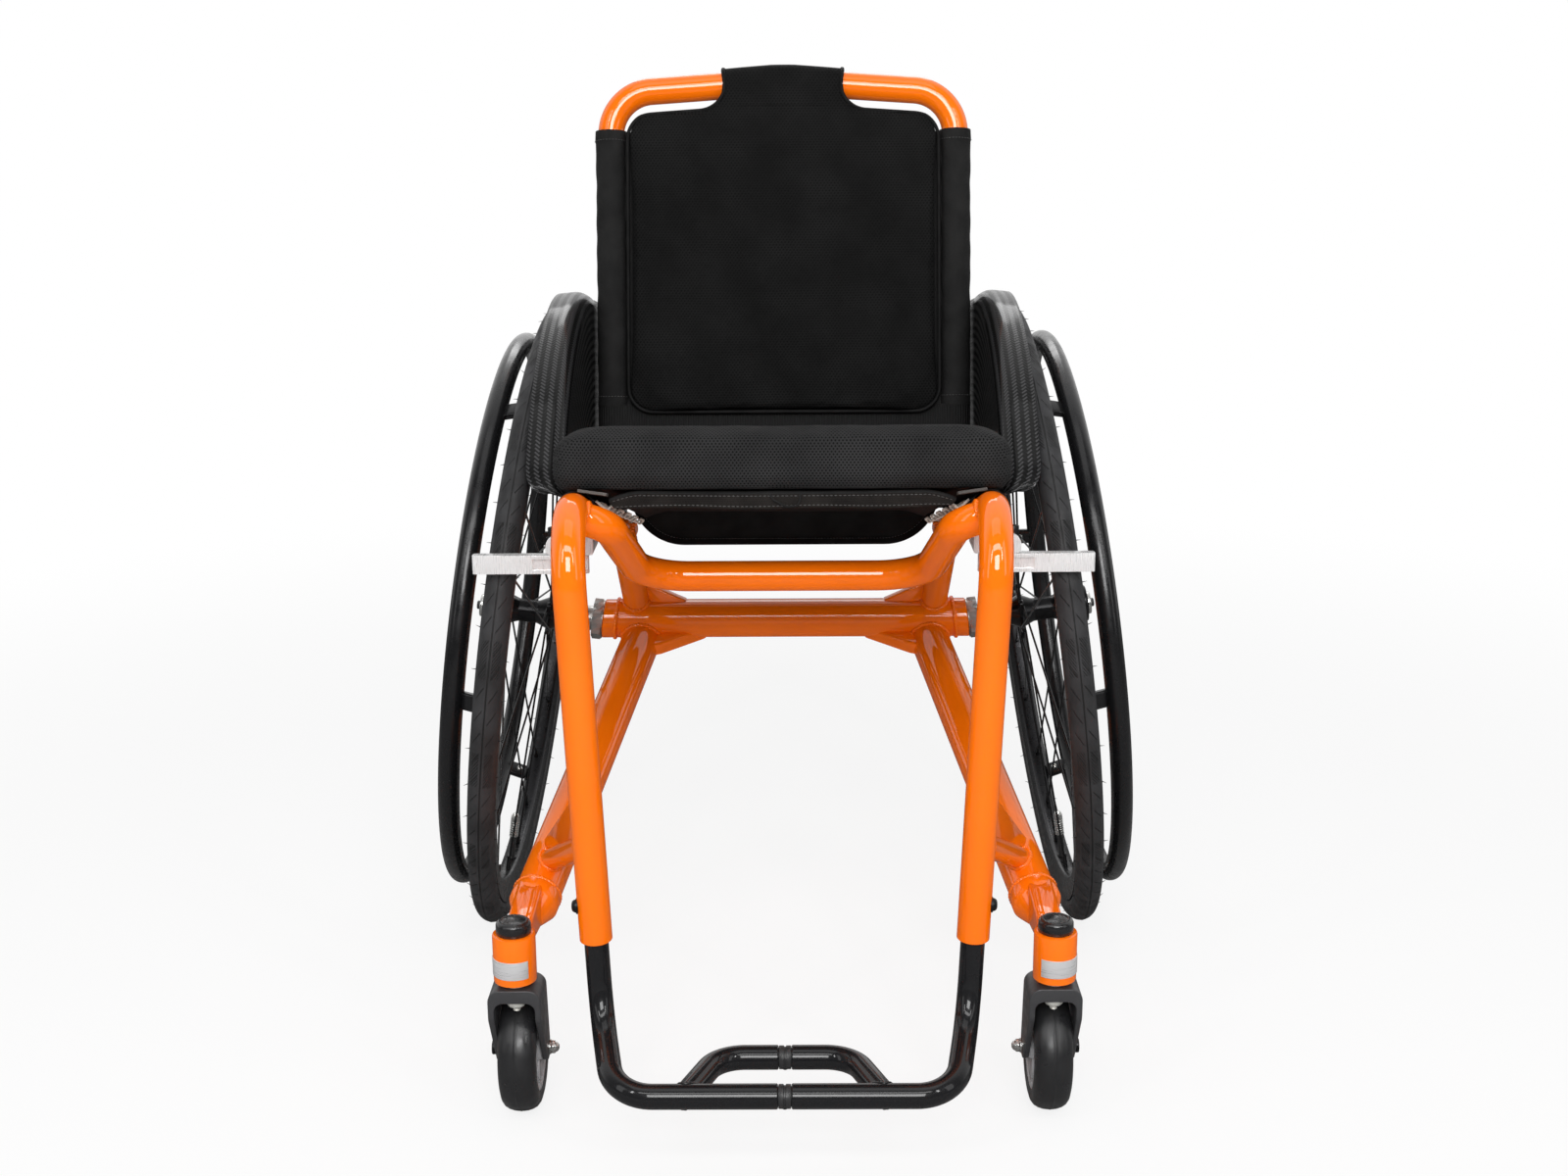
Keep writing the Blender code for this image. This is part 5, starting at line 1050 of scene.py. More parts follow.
barrel_points = [(0.0074, -0.0460), (0.0122, -0.0460), (0.0122, -0.0260), (0.0160, -0.0185),
    (0.0160, -0.0145), (0.0112, -0.0040), (0.0112, 0.0150), (0.0160, 0.0275), (0.0145, 0.0370),
    (0.0074, 0.0480)]
barrel = spun([(p.x, p.y) for p in rounded([(r, h) for r, h in barrel_points],
    (0, 0.0010, 0.006, 0.001, 0.001, 0.008, 0.008, 0.002, 0.003, 0), 5, closed=True)], 64)
end_cap = spun([(0.0112, 0.0440), (0.0172, 0.0440), (0.0180, 0.0448), (0.0180, 0.0476), (0.0172, 0.0490),
    (0.0112, 0.0490)], 56)
both(moved(together(barrel, star_flange(INNER_FLANGE, 0.0), star_flange(OUTER_FLANGE, pi / 6), end_cap),
    WHEEL), "hub_turned", "%_wheel", gloss_anodised, ["%_hub_and_spokes"], 35)
seals = [spun([(0.0076, h), (0.0104, h), (0.0104, h + way * 0.0006), (0.0076, h + way * 0.0006)], 40)
    for h, way in ((-0.0460, -1), (0.0490, 1))]
both(moved(together(*seals), WHEEL), "hub_bearing_rings", "%_wheel", grey_steel)

spoke_tree, given, line = new_tree("laced_spokes", Spoke_Radius="Float", Nipple_Radius="Float",
    Nipple_Length="Float")
wire = add(spoke_tree, "GeometryNodeCurvePrimitiveCircle", {"Resolution": 12,
    "Radius": given["Spoke Radius"]})
wires = add(spoke_tree, "GeometryNodeCurveToMesh", {"Curve": line, "Profile Curve": wire, "Fill Caps": True})
place = add(spoke_tree, "GeometryNodeInputPosition")
inward = add(spoke_tree, "VectorMath", {0: place, 1: (-1.0, -1.0, 0.0)}, operation="MULTIPLY")
reach = add(spoke_tree, "VectorMath", {0: inward}, operation="LENGTH")
at_rim = add(spoke_tree, "FunctionNodeCompare", {0: reach.outputs["Value"], 1: 0.15},
    operation="GREATER_THAN")
upright = add(spoke_tree, "FunctionNodeAlignRotationToVector", {"Vector": inward}, axis="Z")
nipple = add(spoke_tree, "GeometryNodeMeshCone", {"Vertices": 10, "Radius Bottom": given["Nipple Radius"],
    "Radius Top": 0.0017, "Depth": given["Nipple Length"]})
nipples = add(spoke_tree, "GeometryNodeInstanceOnPoints", {"Points": line, "Selection": at_rim,
    "Instance": nipple, "Rotation": upright})
all_spokes = add(spoke_tree, "GeometryNodeJoinGeometry")
connect(spoke_tree, wires, all_spokes.inputs[0])
connect(spoke_tree, nipples, all_spokes.inputs[0])
ending(spoke_tree, given, all_spokes)
lines = []
for way in (-1, 1):
    for arm in range(6):
        angle = 2 * pi * arm / 6 + (way > 0) * pi / 6
        for lead in (-1, 1):
            hole, far = angle + lead * 0.10, angle + lead * radians(52.5)
            flange = OUTER_FLANGE if way > 0 else INNER_FLANGE
            lines.append(([Vector((0.0245 * cos(hole), 0.0245 * sin(hole), flange + lead * 0.0018)),
                Vector((0.2630 * cos(far), 0.2630 * sin(far), way * 0.001))], False))
spokes = grown(polylines(lines), spoke_tree, Spoke_Radius=0.0010, Nipple_Radius=0.0024, Nipple_Length=0.0135,
    Material=gloss_anodised)
both(moved(spokes, WHEEL), "laced_spokes", "%_wheel", gloss_anodised)


# Tyre valves
# A black rubber stem with a ribbed plated cap stands inwards from each rim, at its lowest point.
valve_stem = spun([(0, -0.002), (0.0046, -0.002), (0.0046, 0.0010), (0.0030, 0.0014), (0.0030, 0.0270),
    (0, 0.0270)], 32)
valve_nut = hex_nut(0.0095, 0.0002, 0.0026)
cap_profile = [(0, 0.0240), (0.0044, 0.0240), (0.0046, 0.0244)]
for k in range(7):
    cap_profile += [(0.0046, 0.0250 + 0.0024 * k), (0.0043, 0.0255 + 0.0024 * k),
        (0.0043, 0.0262 + 0.0024 * k)]
cap_profile += [(0.0044, 0.0430), (0.0040, 0.0462), (0.0026, 0.0486), (0, 0.0495)]
VALVE = WHEEL @ aimed((RIM_IN + 0.0005, 0, 0), (-1, 0, 0))
both(moved(together(valve_stem, valve_nut), VALVE), "tyre_valve_stem", "%_wheel",
    satin_plastic)
both(moved(spun(cap_profile, 32), VALVE), "tyre_valve_cap", "%_wheel", bright_steel)


# Pushrims
# A black anodised hoop that the user turns by hand. Six plates carry it from the rim, each held
# by a bright screw.
PUSH_R, PUSH_TUBE_R, PUSH_AT, TAB_TURN = 0.2615, 0.0095, 0.034, radians(3)
push_coat = surfaced("pushrim_anodising", (0.012, 0.012, 0.013), 0.22, {"Roughness": (0.20, 0.36, 70.0, 4.0)},
    (900.0, 2.0, 0.015, 0.0001), Metallic=0.45, Coat_Weight=0.25, Coat_Roughness=0.15)
hoop_ring = spun([(PUSH_R + PUSH_TUBE_R * c, PUSH_AT + PUSH_TUBE_R * s) for c, s in circle(1.0, 36)], 192)
slope = Vector((RIM_OUT - 0.0135 - RIM_IN, 0.0045)).normalized()
seat = Vector((RIM_IN, 0.0060)) + Vector((-slope.y, slope.x)) * 0.0006
tab_corners = [seat + slope * 0.0015, seat + slope * 0.0085, Vector((PUSH_R + 0.0015, PUSH_AT - 0.006)),
    Vector((PUSH_R - 0.0055, PUSH_AT - 0.006))]
tabs, tab_screws = [], []
inner_edge = (tab_corners[3] - tab_corners[0]).normalized()
screw_spot = tab_corners[0].lerp(tab_corners[3], 0.42)
for k in range(6):
    turn = Matrix.Rotation(2 * pi * (k + 0.5) / 6 + TAB_TURN, 4, "Z")
    tabs.append(moved(slab([(p.x, p.y) for p in tab_corners], -0.008, 0.008, "Y", 0.0022, 4), turn))
    tab_screws.append(moved(socket_screw(0.0034, 0.0026, 0.0014, 24),
        turn @ aimed((screw_spot.x, 0, screw_spot.y), (-inner_edge.y, 0, inner_edge.x))))
both(moved(together(hoop_ring, *tabs), WHEEL), "pushrim_anodised", "%_wheel", push_coat,
     ["%_pushrim"], 50)
both(moved(together(*tab_screws), WHEEL), "pushrim_screws", "%_wheel", bright_steel)


# Side guards
# A lacquered carbon panel inside each wheel. Its top rolls outwards over the tyre as a fender, and
# two black standoffs hold it to the seat rail. The twill runs along the arch.
GUARD_X, GUARD_WALL, FENDER_R = 0.1835, 0.0025, TYRE_R + 0.007
carbon, tree, shader = principled("lacquered_carbon_twill", (0.020, 0.020, 0.021), 0.42, Coat_Weight=0.40,
    Coat_Roughness=0.10, Specular_IOR_Level=0.1)
tow = 0.0028
spot = add(tree, "SeparateXYZ", {0: places(tree, 1 / tow, "UV")})
warp = maths(tree, "MULTIPLY", maths(tree, "ADD", spot.outputs[0], spot.outputs[1]), sqrt(0.5))
weft = maths(tree, "MULTIPLY", maths(tree, "SUBTRACT", spot.outputs[0], spot.outputs[1]), sqrt(0.5))
step = maths(tree, "SUBTRACT", maths(tree, "FLOOR", warp), maths(tree, "FLOOR", weft))
over = maths(tree, "LESS_THAN", maths(tree, "FRACT", maths(tree, "DIVIDE", step, 4.0)), 0.49)
warp_crown = maths(tree, "SINE", maths(tree, "MULTIPLY", maths(tree, "FRACT", warp), pi))
weft_crown = maths(tree, "SINE", maths(tree, "MULTIPLY", maths(tree, "FRACT", weft), pi))
crown = add(tree, "Mix", {0: over, 2: warp_crown, 3: weft_crown})
# Each tow is painted lighter at its crown, and the tows lying over are lighter than those under: painted
# sheen of the fibres, which is what draws the twill.
shade = ramped(tree, maths(tree, "MULTIPLY", crown, maths(tree, "MULTIPLY_ADD", over, 0.75, 0.25)),
    (0.0015, 0.0015, 0.0015), (0.050, 0.050, 0.052), (0.45, 0.95))
connect(tree, shade, shader.inputs["Base Color"])
connect(tree, maths(tree, "MULTIPLY_ADD", over, -0.16, 0.44), shader.inputs["Roughness"])
roughen(tree, shader, crown, 0.35, 0.0005)


def guard_point(share, across_share):
    """A point of the guard's inner face, by its shares from rear to front and from foot to edge."""
    angle = radians(-18) + radians(75) * share
    foot_y = 0.062 - 0.305 * share
    front, rear = max(0.0, (share - 0.90) / 0.10), max(0.0, (0.10 - share) / 0.10)
    lift = 0.020 * (1 - sqrt(1 - min(1.0, front) ** 2)) + 0.014 * (1 - sqrt(1 - min(1.0, rear) ** 2))
    foot = Vector((GUARD_X, foot_y, rail(foot_y).z - 0.002 + lift))
    corner = max(0.0, (share - 0.94) / 0.06, (0.05 - share) / 0.05)
    edge_x = 0.2155 - 0.015 * (1 - sqrt(max(0.0, 1 - min(1.0, corner) ** 2)))
    roll = min(0.017, (edge_x - GUARD_X) * 0.55)
    outward = Vector((0, -sin(angle), cos(angle)))
    centre = Vector((GUARD_X, 0, HUB_Z))
    if across_share < 0.5:
        return foot.lerp(centre + outward * (FENDER_R - roll), across_share / 0.5)
    if across_share < 0.8:
        a = (across_share - 0.5) / 0.3 * pi / 2
        return centre + outward * (FENDER_R - roll + roll * sin(a)) + Vector((roll * (1 - cos(a)), 0, 0))
    run = (across_share - 0.8) / 0.2
    return (centre + outward * (FENDER_R - 0.0015 * run)
        + Vector((roll + (edge_x - GUARD_X - roll) * run, 0, 0)))


shape = bmesh.new()
layer = shape.loops.layers.uv.new("metres")
long_steps, cross_steps, ARCH_LENGTH = 90, 40, 0.408
grid = [[shape.verts.new(guard_point(i / long_steps, j / cross_steps)) for j in range(cross_steps + 1)]
        for i in range(long_steps + 1)]
from_edge = [[0.0] * (cross_steps + 1) for _ in grid]
for ring, run in zip(grid, from_edge):
    for j in range(cross_steps - 1, -1, -1):
        run[j] = run[j + 1] + (ring[j].co - ring[j + 1].co).length
for i in range(long_steps):
    for j in range(cross_steps):
        spots = ((i, j), (i, j + 1), (i + 1, j + 1), (i + 1, j))
        mapped(shape, layer, [grid[a][b] for a, b in spots], [a / long_steps * ARCH_LENGTH for a, b in spots],
               [from_edge[a][b] for a, b in spots])
guard = from_bmesh(shape, 1e-7)
facing_in = guard.data.polygons[0].normal.x < 0
wall = guard.modifiers.new("wall", "SOLIDIFY")
wall.thickness, wall.offset = GUARD_WALL, -1.0 if facing_in else 1.0
guard = bevelled(settled(guard), 0.0009, 3, 50)
both(guard, "side_guard_laminate", "frame", carbon, ["%_side_guard"], 60)

for y in (-0.205, -0.060):
    place = rail(y) - Vector((0, 0, 0.004))
    post = spun([(0.003, 0), (0.0066, 0), (0.0070, 0.0004), (0.0070, GUARD_X - place.x - 0.0004),
        (0.0066, GUARD_X - place.x), (0.003, GUARD_X - place.x)], 36)
    head = moved(socket_screw(0.0058, 0.0030, 0.0020, 28), shift(0, 0, GUARD_X - place.x + GUARD_WALL))
    both(moved(together(post, head), aimed(place, (1, 0, 0))),
        "guard_standoff_" + ("front" if y < -0.1 else "rear"), "frame", black_screw)


# Wheel locks
# A milled clamp under each rail carries a bar on an upright pin. The bar is swung out so that it
# presses on the tyre's front. Both are bare aluminium with the cutter's fine lines.
LOCK_Z, LOCK_HEIGHT, LOCK_DEPTH = 0.419, 0.0155, 0.010
LOCK_BACK = -sqrt(TYRE_R ** 2 - (LOCK_Z - HUB_Z) ** 2) - 0.0028
PIVOT = Vector((0.1705, LOCK_BACK - LOCK_DEPTH / 2, LOCK_Z))
milled, tree, shader = principled("milled_bare_aluminium", (0.94, 0.94, 0.94), 0.30, Metallic=0.45)
cutter_lines = add(tree, "Mapping", {"Vector": places(tree), "Scale": (3200.0, 60.0, 60.0)})
lay = add(tree, "TexNoise", {"Vector": cutter_lines, "Scale": 1.0, "Detail": 2.0})
connect(tree, eased(tree, lay, 0.3, 0.7, 0.26, 0.34), shader.inputs["Roughness"])
roughen(tree, shader, lay, 0.04, 0.0001)
bar_outline = rounded(square(-0.0105, 0.0855, -LOCK_DEPTH / 2, LOCK_DEPTH / 2),
    (0.0045, 0.002, 0.003, 0.0045), 8, closed=True)
lock_bar = slab(bar_outline, -LOCK_HEIGHT / 2, LOCK_HEIGHT / 2, "Z")
pocket = slab(square(-0.02, 0.0355, -0.0046, 0.0046), -LOCK_DEPTH, -LOCK_DEPTH / 2 + 0.0022, "Y")
pin_hole = spun([(0, -0.02), (0.0045, -0.02), (0.0045, 0.02), (0, 0.02)], 40)
lock_bar = bevelled(cut(lock_bar, pocket, pin_hole), 0.0005, 3, 35)
both(moved(lock_bar, Matrix.Translation(PIVOT)), "lock_bar_milled", "%_wheel_lock",
    milled, ["%_lock_bar"])

clamp_low = LOCK_Z + LOCK_HEIGHT / 2 + 0.0003
clamp_front = LOCK_BACK - LOCK_DEPTH
saddle = rail(clamp_front + 0.020)
clamp_points = [(0.1560, clamp_low), (0.1950, clamp_low), (0.1950, clamp_low + 0.014),
    (saddle.x + TUBE_R + 0.004, clamp_low + 0.020), (saddle.x + TUBE_R + 0.004, saddle.z - 0.003),
    (0.1560, saddle.z - 0.003)]
clamp = slab(rounded(clamp_points, (0.002, 0.004, 0.0095, 0.003, 0, 0), 8, closed=True), clamp_front,
    clamp_front + 0.040, "Y")
rail_space = bar([rail(-0.40), rail(-0.15)], TUBE_R + 0.0003, 48)
clamp = bevelled(cut(clamp, rail_space), 0.0006, 3, 40)
lock_pin = spun([(0, -LOCK_HEIGHT / 2 - 0.0042), (0.0030, -LOCK_HEIGHT / 2 - 0.0042),
    (0.0056, -LOCK_HEIGHT / 2 - 0.0038), (0.0065, -LOCK_HEIGHT / 2 - 0.0028),
    (0.0065, -LOCK_HEIGHT / 2 - 0.0003), (0.0040, -LOCK_HEIGHT / 2 - 0.0003),
    (0.0040, LOCK_HEIGHT / 2 + 0.0040), (0, LOCK_HEIGHT / 2 + 0.0040)], 36)
clamp_bolts = [moved(socket_screw(0.0040, 0.0032, 0.0020, 24),
    aimed((0.1950, clamp_front + 0.030, clamp_low + 0.0055), (1, 0, 0)))]
bolt_head = spun([(0, 0), (0.0046, 0), (0.0046, 0.0078), (0.0042, 0.0084), (0.0024, 0.0084), (0.0022, 0.0046),
    (0, 0.0046)], 30)
clamp_bolts.append(moved(bolt_head, shift(0.1893, clamp_front + 0.010, clamp_low + 0.0130)))
both(clamp, "lock_clamp_milled", "frame", milled, ["%_lock_clamp"])
both(moved(lock_pin, Matrix.Translation(PIVOT)), "lock_pivot_pin", "frame", bright_steel)
both(together(*clamp_bolts), "lock_clamp_bolts", "frame", black_screw)


# Rail covers
# Black woven cloth is wrapped over each seat rail where the sling is laced to it. Its edges are
# turned in and sewn.

def woven_cloth(name, pitch, low, high, strength, colour, roughness, **values):
    """A cloth of a fine plain weave in its three directions, on object coordinates, with painted light and
    shade on its threads.
    """
    cloth, tree, shader = principled(name, colour, roughness, **values)
    spot = add(tree, "SeparateXYZ", {0: places(tree, 2 * pi / pitch)})
    waves = [maths(tree, "SINE", spot.outputs[k]) for k in range(3)]
    weave = maths(tree, "ADD", maths(tree, "MULTIPLY", waves[0], maths(tree, "ADD", waves[1], waves[2])),
        maths(tree, "MULTIPLY", waves[1], waves[2]))
    slub = noise(tree, 46.0, 5.0)
    # The weave lightens the threads' crowns and darkens the gaps between them: painted light and shade of the
    # weave, over the yarn's own slub tone.
    tone = ramped(tree, maths(tree, "MULTIPLY_ADD", weave, 0.10, slub), low, high, (0.32, 0.72))
    connect(tree, tone, shader.inputs["Base Color"])
    first = roughen(tree, shader, slub, 0.20, 0.0012)
    roughen(tree, shader, weave, strength, 0.00016, first)
    return cloth


woven = woven_cloth("black_woven_cloth", 0.0011, (0.006, 0.006, 0.006), (0.0140, 0.0137, 0.0135), 0.35,
    (0.017, 0.017, 0.018), 0.80, Specular_IOR_Level=0.25)
SLING_FRONT, SLING_REAR = -0.378 / cos(SEAT_DUMP), -0.030 / cos(SEAT_DUMP)
COVER_X, COVER_R, COVER_WALL = 0.1594, TUBE_R + 0.0009, 0.0016
COVER_OUT = COVER_R + COVER_WALL
SEAT = shift(0, 0, rail(0.0).z) @ Matrix.Rotation(-SEAT_DUMP, 4, "X")


def skin(rows, wall, outward=1.0, closed=False):
    """A cloth of this thickness from rows of points. Its map is in metres: along a row, row to row."""
    shape = bmesh.new()
    layer = shape.loops.layers.uv.new("metres")
    grid = [[shape.verts.new(p) for p in row] for row in rows]
    wide, long = len(rows[0]), len(rows)
    along = [0.0]
    for a, b in zip(rows, rows[1:]):
        along.append(along[-1] + (Vector(a[wide // 2]) - Vector(b[wide // 2])).length)
    span = [0.0]
    middle = rows[long // 2]
    for j in range(wide):
        span.append(span[-1] + (Vector(middle[j]) - Vector(middle[(j + 1) % wide])).length)
    for i in range(long - 1):
        for j in range(wide if closed else wide - 1):
            k = (j + 1) % wide
            mapped(shape, layer, (grid[i][j], grid[i][k], grid[i + 1][k], grid[i + 1][j]),
                (span[j], span[j + 1], span[j + 1], span[j]),
                (along[i], along[i], along[i + 1], along[i + 1]))
    mesh = bpy.data.meshes.new("work")
    shape.to_mesh(mesh)
    shape.free()
    item = as_object(mesh)
    cloth = item.modifiers.new("wall", "SOLIDIFY")
    cloth.thickness, cloth.offset = wall, outward
    item = settled(item)
    shape = bmesh.new()
    shape.from_mesh(item.data)
    bpy.data.objects.remove(item)
    return from_bmesh(shape, 1e-7)


stitch_tree, given, line = new_tree("lock_stitches", Pitch="Float", Thread_Radius="Float")
heading = add(stitch_tree, "GeometryNodeInputTangent")
facing = add(stitch_tree, "FunctionNodeAlignRotationToVector", {"Vector": heading}, axis="X")
bead = add(stitch_tree, "GeometryNodeMeshUVSphere", {"Segments": 6, "Rings": 4, "Radius": 1.0})
form = add(stitch_tree, "CombineXYZ", {0: maths(stitch_tree, "MULTIPLY", given["Pitch"], 0.40),
    1: given["Thread Radius"], 2: given["Thread Radius"]})
stitched = add(stitch_tree, "GeometryNodeInstanceOnPoints", {
    "Points": resampled(stitch_tree, line, given["Pitch"]), "Instance": bead, "Rotation": facing,
    "Scale": form})
ending(stitch_tree, given, stitched)
sewing_thread = surfaced("black_sewing_thread", (0.040, 0.039, 0.038), 0.55,
    {"Base Color": ((0.028, 0.028, 0.028), (0.055, 0.054, 0.052), 420.0)}, (2600.0, 2.0, 0.3, 0.0002),
    Sheen_Weight=0.2)


def stitches(*paths, pitch=0.0030, closed=False):
    return grown(polylines([(list(map(Vector, path)), closed) for path in paths]), stitch_tree, Pitch=pitch,
        Thread_Radius=0.00032, Material=sewing_thread)


rows = []
for i in range(61):
    y = SLING_FRONT + (SLING_REAR - SLING_FRONT) * i / 60
    at_end = min(y - SLING_FRONT, SLING_REAR - y)
    r = COVER_R + 0.0002 * sin(y * 190) + (0.0005 if at_end < 0.009 else 0.0)
    rows.append([(COVER_X + r * cos(a), y, r * sin(a))
        for a in (radians(35 + 125 * k / 20) for k in range(21))])
cover = moved(skin(rows, COVER_WALL * 0.7, -1.0), SEAT)
cover_seam = [(COVER_X + (COVER_OUT + 0.0001) * cos(radians(148)), SLING_FRONT + 0.002 + k * 0.0035,
    (COVER_OUT + 0.0001) * sin(radians(148))) for k in range(101)]
both(cover, "rail_cover_cloth", "frame", woven, ["%_rail_cover"])
both(moved(stitches(cover_seam), SEAT), "rail_cover_stitches", "frame", sewing_thread)


# Seat sling
# A cloth stretched between the rails carries the cushion. Its front edge is folded down into a
# charcoal hem with two rows of stitches.
SLING_HALF, SLING_TOP, SLING_EDGE = 0.1335, COVER_OUT, 0.0065
charcoal = woven_cloth("charcoal_hem_cloth", 0.0012, (0.0075, 0.0065, 0.0060), (0.018, 0.0155, 0.014), 0.45,
    (0.040, 0.037, 0.035), 0.84, Specular_IOR_Level=0.12)


def sling_height(x):
    drop = max(0.0, (abs(x) - (SLING_HALF - 0.022)) / 0.022)
    return SLING_TOP - SLING_EDGE * drop ** 1.4 - 0.0012 * (1 - (x / SLING_HALF) ** 2)


xs = [-SLING_HALF + 2 * SLING_HALF * k / 80 for k in range(81)]
rows = [[(x, SLING_REAR + (SLING_FRONT + 0.0015 - SLING_REAR) * i / 60, sling_height(x)) for x in xs]
        for i in range(61)]
for k in range(1, 6):
    a = pi / 2 * k / 5
    rows.append([(x, SLING_FRONT + 0.0015 - 0.0022 * sin(a), sling_height(x) - 0.0022 * (1 - cos(a)))
        for x in xs])
sling = moved(skin(rows, 0.0014, 0.0), SEAT)
finished(sling, "seat_sling_cloth", "frame", woven, ["seat_sling"])


def hem_point(x, share):
    """A point on the front hem, from its fold down to its edge, with the cloth's slight ripple."""
    low = SLING_TOP - 0.0140 + 0.0006 * sin(x * 60) + 0.0010 * (x / SLING_HALF) ** 2
    high = sling_height(x) - 0.0022
    ripple = 0.0007 * share * sin(x * 95 + 1.0)
    return (x * (1 - 0.028 * share), SLING_FRONT - 0.0007 - 0.0004 * share + ripple * 0.5,
        high + (low - high) * share)


rows = [[hem_point(x, i / 14) for x in xs] for i in range(15)]
hem = moved(skin(rows, 0.0018, 0.0), SEAT)
finished(hem, "sling_front_hem", "frame", charcoal)
hem_rows = [[Vector(hem_point(x, share)) - Vector((0, 0.0010, 0)) for x in xs[1:-1]]
    for share in (0.12, 0.84)]
finished(moved(stitches(*hem_rows, pitch=0.0034), SEAT), "sling_hem_stitches", "frame",
    sewing_thread)

pull_path = rounded([(-0.0095, SLING_FRONT - 0.0026, SLING_TOP - 0.0035),
    (-0.0070, SLING_FRONT - 0.0030, 0.0075), (0.0030, SLING_FRONT - 0.0034, 0.0022),
    (0.0118, SLING_FRONT - 0.0030, 0.0025), (0.0135, SLING_FRONT - 0.0028, 0.0080),
    (0.0142, SLING_FRONT - 0.0026, SLING_TOP - 0.0035)], 0.0035, 6)
pull = moved(bar(pull_path, 0.0008, 14, 0.0002), SEAT)
finished(pull, "sling_pull_loop", "frame", woven)


# Rail tapes
# A short pale grey tape lies over each rail under the cushion's front corner.
tape = woven_cloth("pale_grey_tape", 0.0009, (0.045, 0.042, 0.038), (0.090, 0.085, 0.077), 0.4,
    (0.15, 0.14, 0.13), 0.60, Sheen_Weight=0.05)
rows = []
for i in range(9):
    y = SLING_FRONT - 0.018 + 0.0145 * i / 8
    rows.append([(x, y, TUBE_R + 0.0008 - 0.14 * (0.1560 - x))
        for x in (0.1340 + 0.0220 * k / 12 for k in range(13))])
both(moved(skin(rows, 0.0022, 1.0), SEAT), "rail_tape", "frame", tape)


# Seat lacing
# One ivory cord on each side runs to and fro through the sling's edge and the rail cover, and
# draws the sling tight.
LACE_R, LACE_TURNS = 0.0011, 5
ivory, tree, shader = principled("twisted_ivory_cord", (0.74, 0.68, 0.58), 0.68, Sheen_Weight=0.2)
vary(tree, shader, "Base Color", (0.76, 0.69, 0.59), (0.90, 0.85, 0.76), 160.0)
spot = add(tree, "SeparateXYZ", {0: places(tree, kind="UV")})
ply = maths(tree, "SINE", maths(tree, "MULTIPLY", maths(tree, "ADD", spot.outputs[0], spot.outputs[1]),
    2 * pi / 0.0022))
roughen(tree, shader, ply, 0.6, 0.0004)
lace_step = (SLING_REAR - SLING_FRONT - 0.016) / (2 * LACE_TURNS)
lace = []
for k in range(2 * LACE_TURNS):
    y = SLING_FRONT + 0.008 + lace_step * k
    crossing = [(0.1444, y, 0.0078), (0.1362, y + 0.0012, 0.0004), (0.1325, y + 0.0022, 0.0040)]
    lace += crossing if k % 2 == 0 else crossing[::-1]
lacing = moved(swept(rounded(lace, 0.0012, 4), circle(LACE_R, 12)), SEAT)
both(lacing, "seat_lacing_cord", "frame", ivory, ["%_seat_lacing"], 60)


# Seat cushion
# A foam cushion in a black spacer-mesh cover. The cover is sewn tight, so its faces crown and
# its sides draw in between the corners.


def mesh_cloth(name, colour, roughness, pitch, row_gap, hole, low, high, strength):
    """A knitted cloth with staggered rows of holes painted near black as the shade inside them, laid on the
    way that the surface looks.
    """
    cloth, tree, shader = principled(name, colour, roughness, Specular_IOR_Level=0.12)
    spot = add(tree, "SeparateXYZ", {0: places(tree)})
    looks = add(tree, "NewGeometry")
    turned = add(tree, "VectorMath", {0: looks.outputs["Normal"]}, operation="ABSOLUTE")
    turned = add(tree, "SeparateXYZ", {0: turned})
    x, y, z = spot.outputs
    nx, ny, nz = turned.outputs
    sideways = maths(tree, "GREATER_THAN", nx, maths(tree, "MAXIMUM", ny, nz))
    level = maths(tree, "GREATER_THAN", nz, ny)
    across = add(tree, "Mix", {0: sideways, 2: x, 3: y})
    up_or_back = add(tree, "Mix", {0: level, 2: z, 3: y})
    up = add(tree, "Mix", {0: sideways, 2: up_or_back, 3: z})
    row = maths(tree, "DIVIDE", up, row_gap)
    shifted = maths(tree, "MULTIPLY_ADD", maths(tree, "PINGPONG", maths(tree, "FLOOR", row), 1.0), 0.5,
        maths(tree, "DIVIDE", across, pitch))
    a = maths(tree, "SUBTRACT", maths(tree, "FRACT", shifted), 0.5)
    b = maths(tree, "MULTIPLY", maths(tree, "SUBTRACT", maths(tree, "FRACT", row), 0.5), row_gap / pitch)
    reach = maths(tree, "SQRT", maths(tree, "ADD", maths(tree, "MULTIPLY", a, a),
        maths(tree, "MULTIPLY", b, b)))
    open_share = eased(tree, reach, 0.16, 0.32, 1.0, 0.0)
    tone = ramped(tree, noise(tree, 22.0, 3.0), low, high)
    # The open cells get the near-black hole colour: painted shade inside the holes, over the strands' random
    # tone.
    faces = add(tree, "MixRGB", {0: open_share, 1: tone, 2: (hole, hole, hole, 1)})
    connect(tree, faces, shader.inputs["Base Color"])
    first = roughen(tree, shader, maths(tree, "MULTIPLY", open_share, -1.0), strength, 0.0006)
    roughen(tree, shader, noise(tree, 1500.0), 0.25, 0.0003, first)
    return cloth


spacer = mesh_cloth("black_spacer_mesh", (0.030, 0.030, 0.031), 0.80, 0.0029, 0.0020, 0.0015,
    (0.018, 0.018, 0.0185), (0.026, 0.026, 0.0265), 0.55)


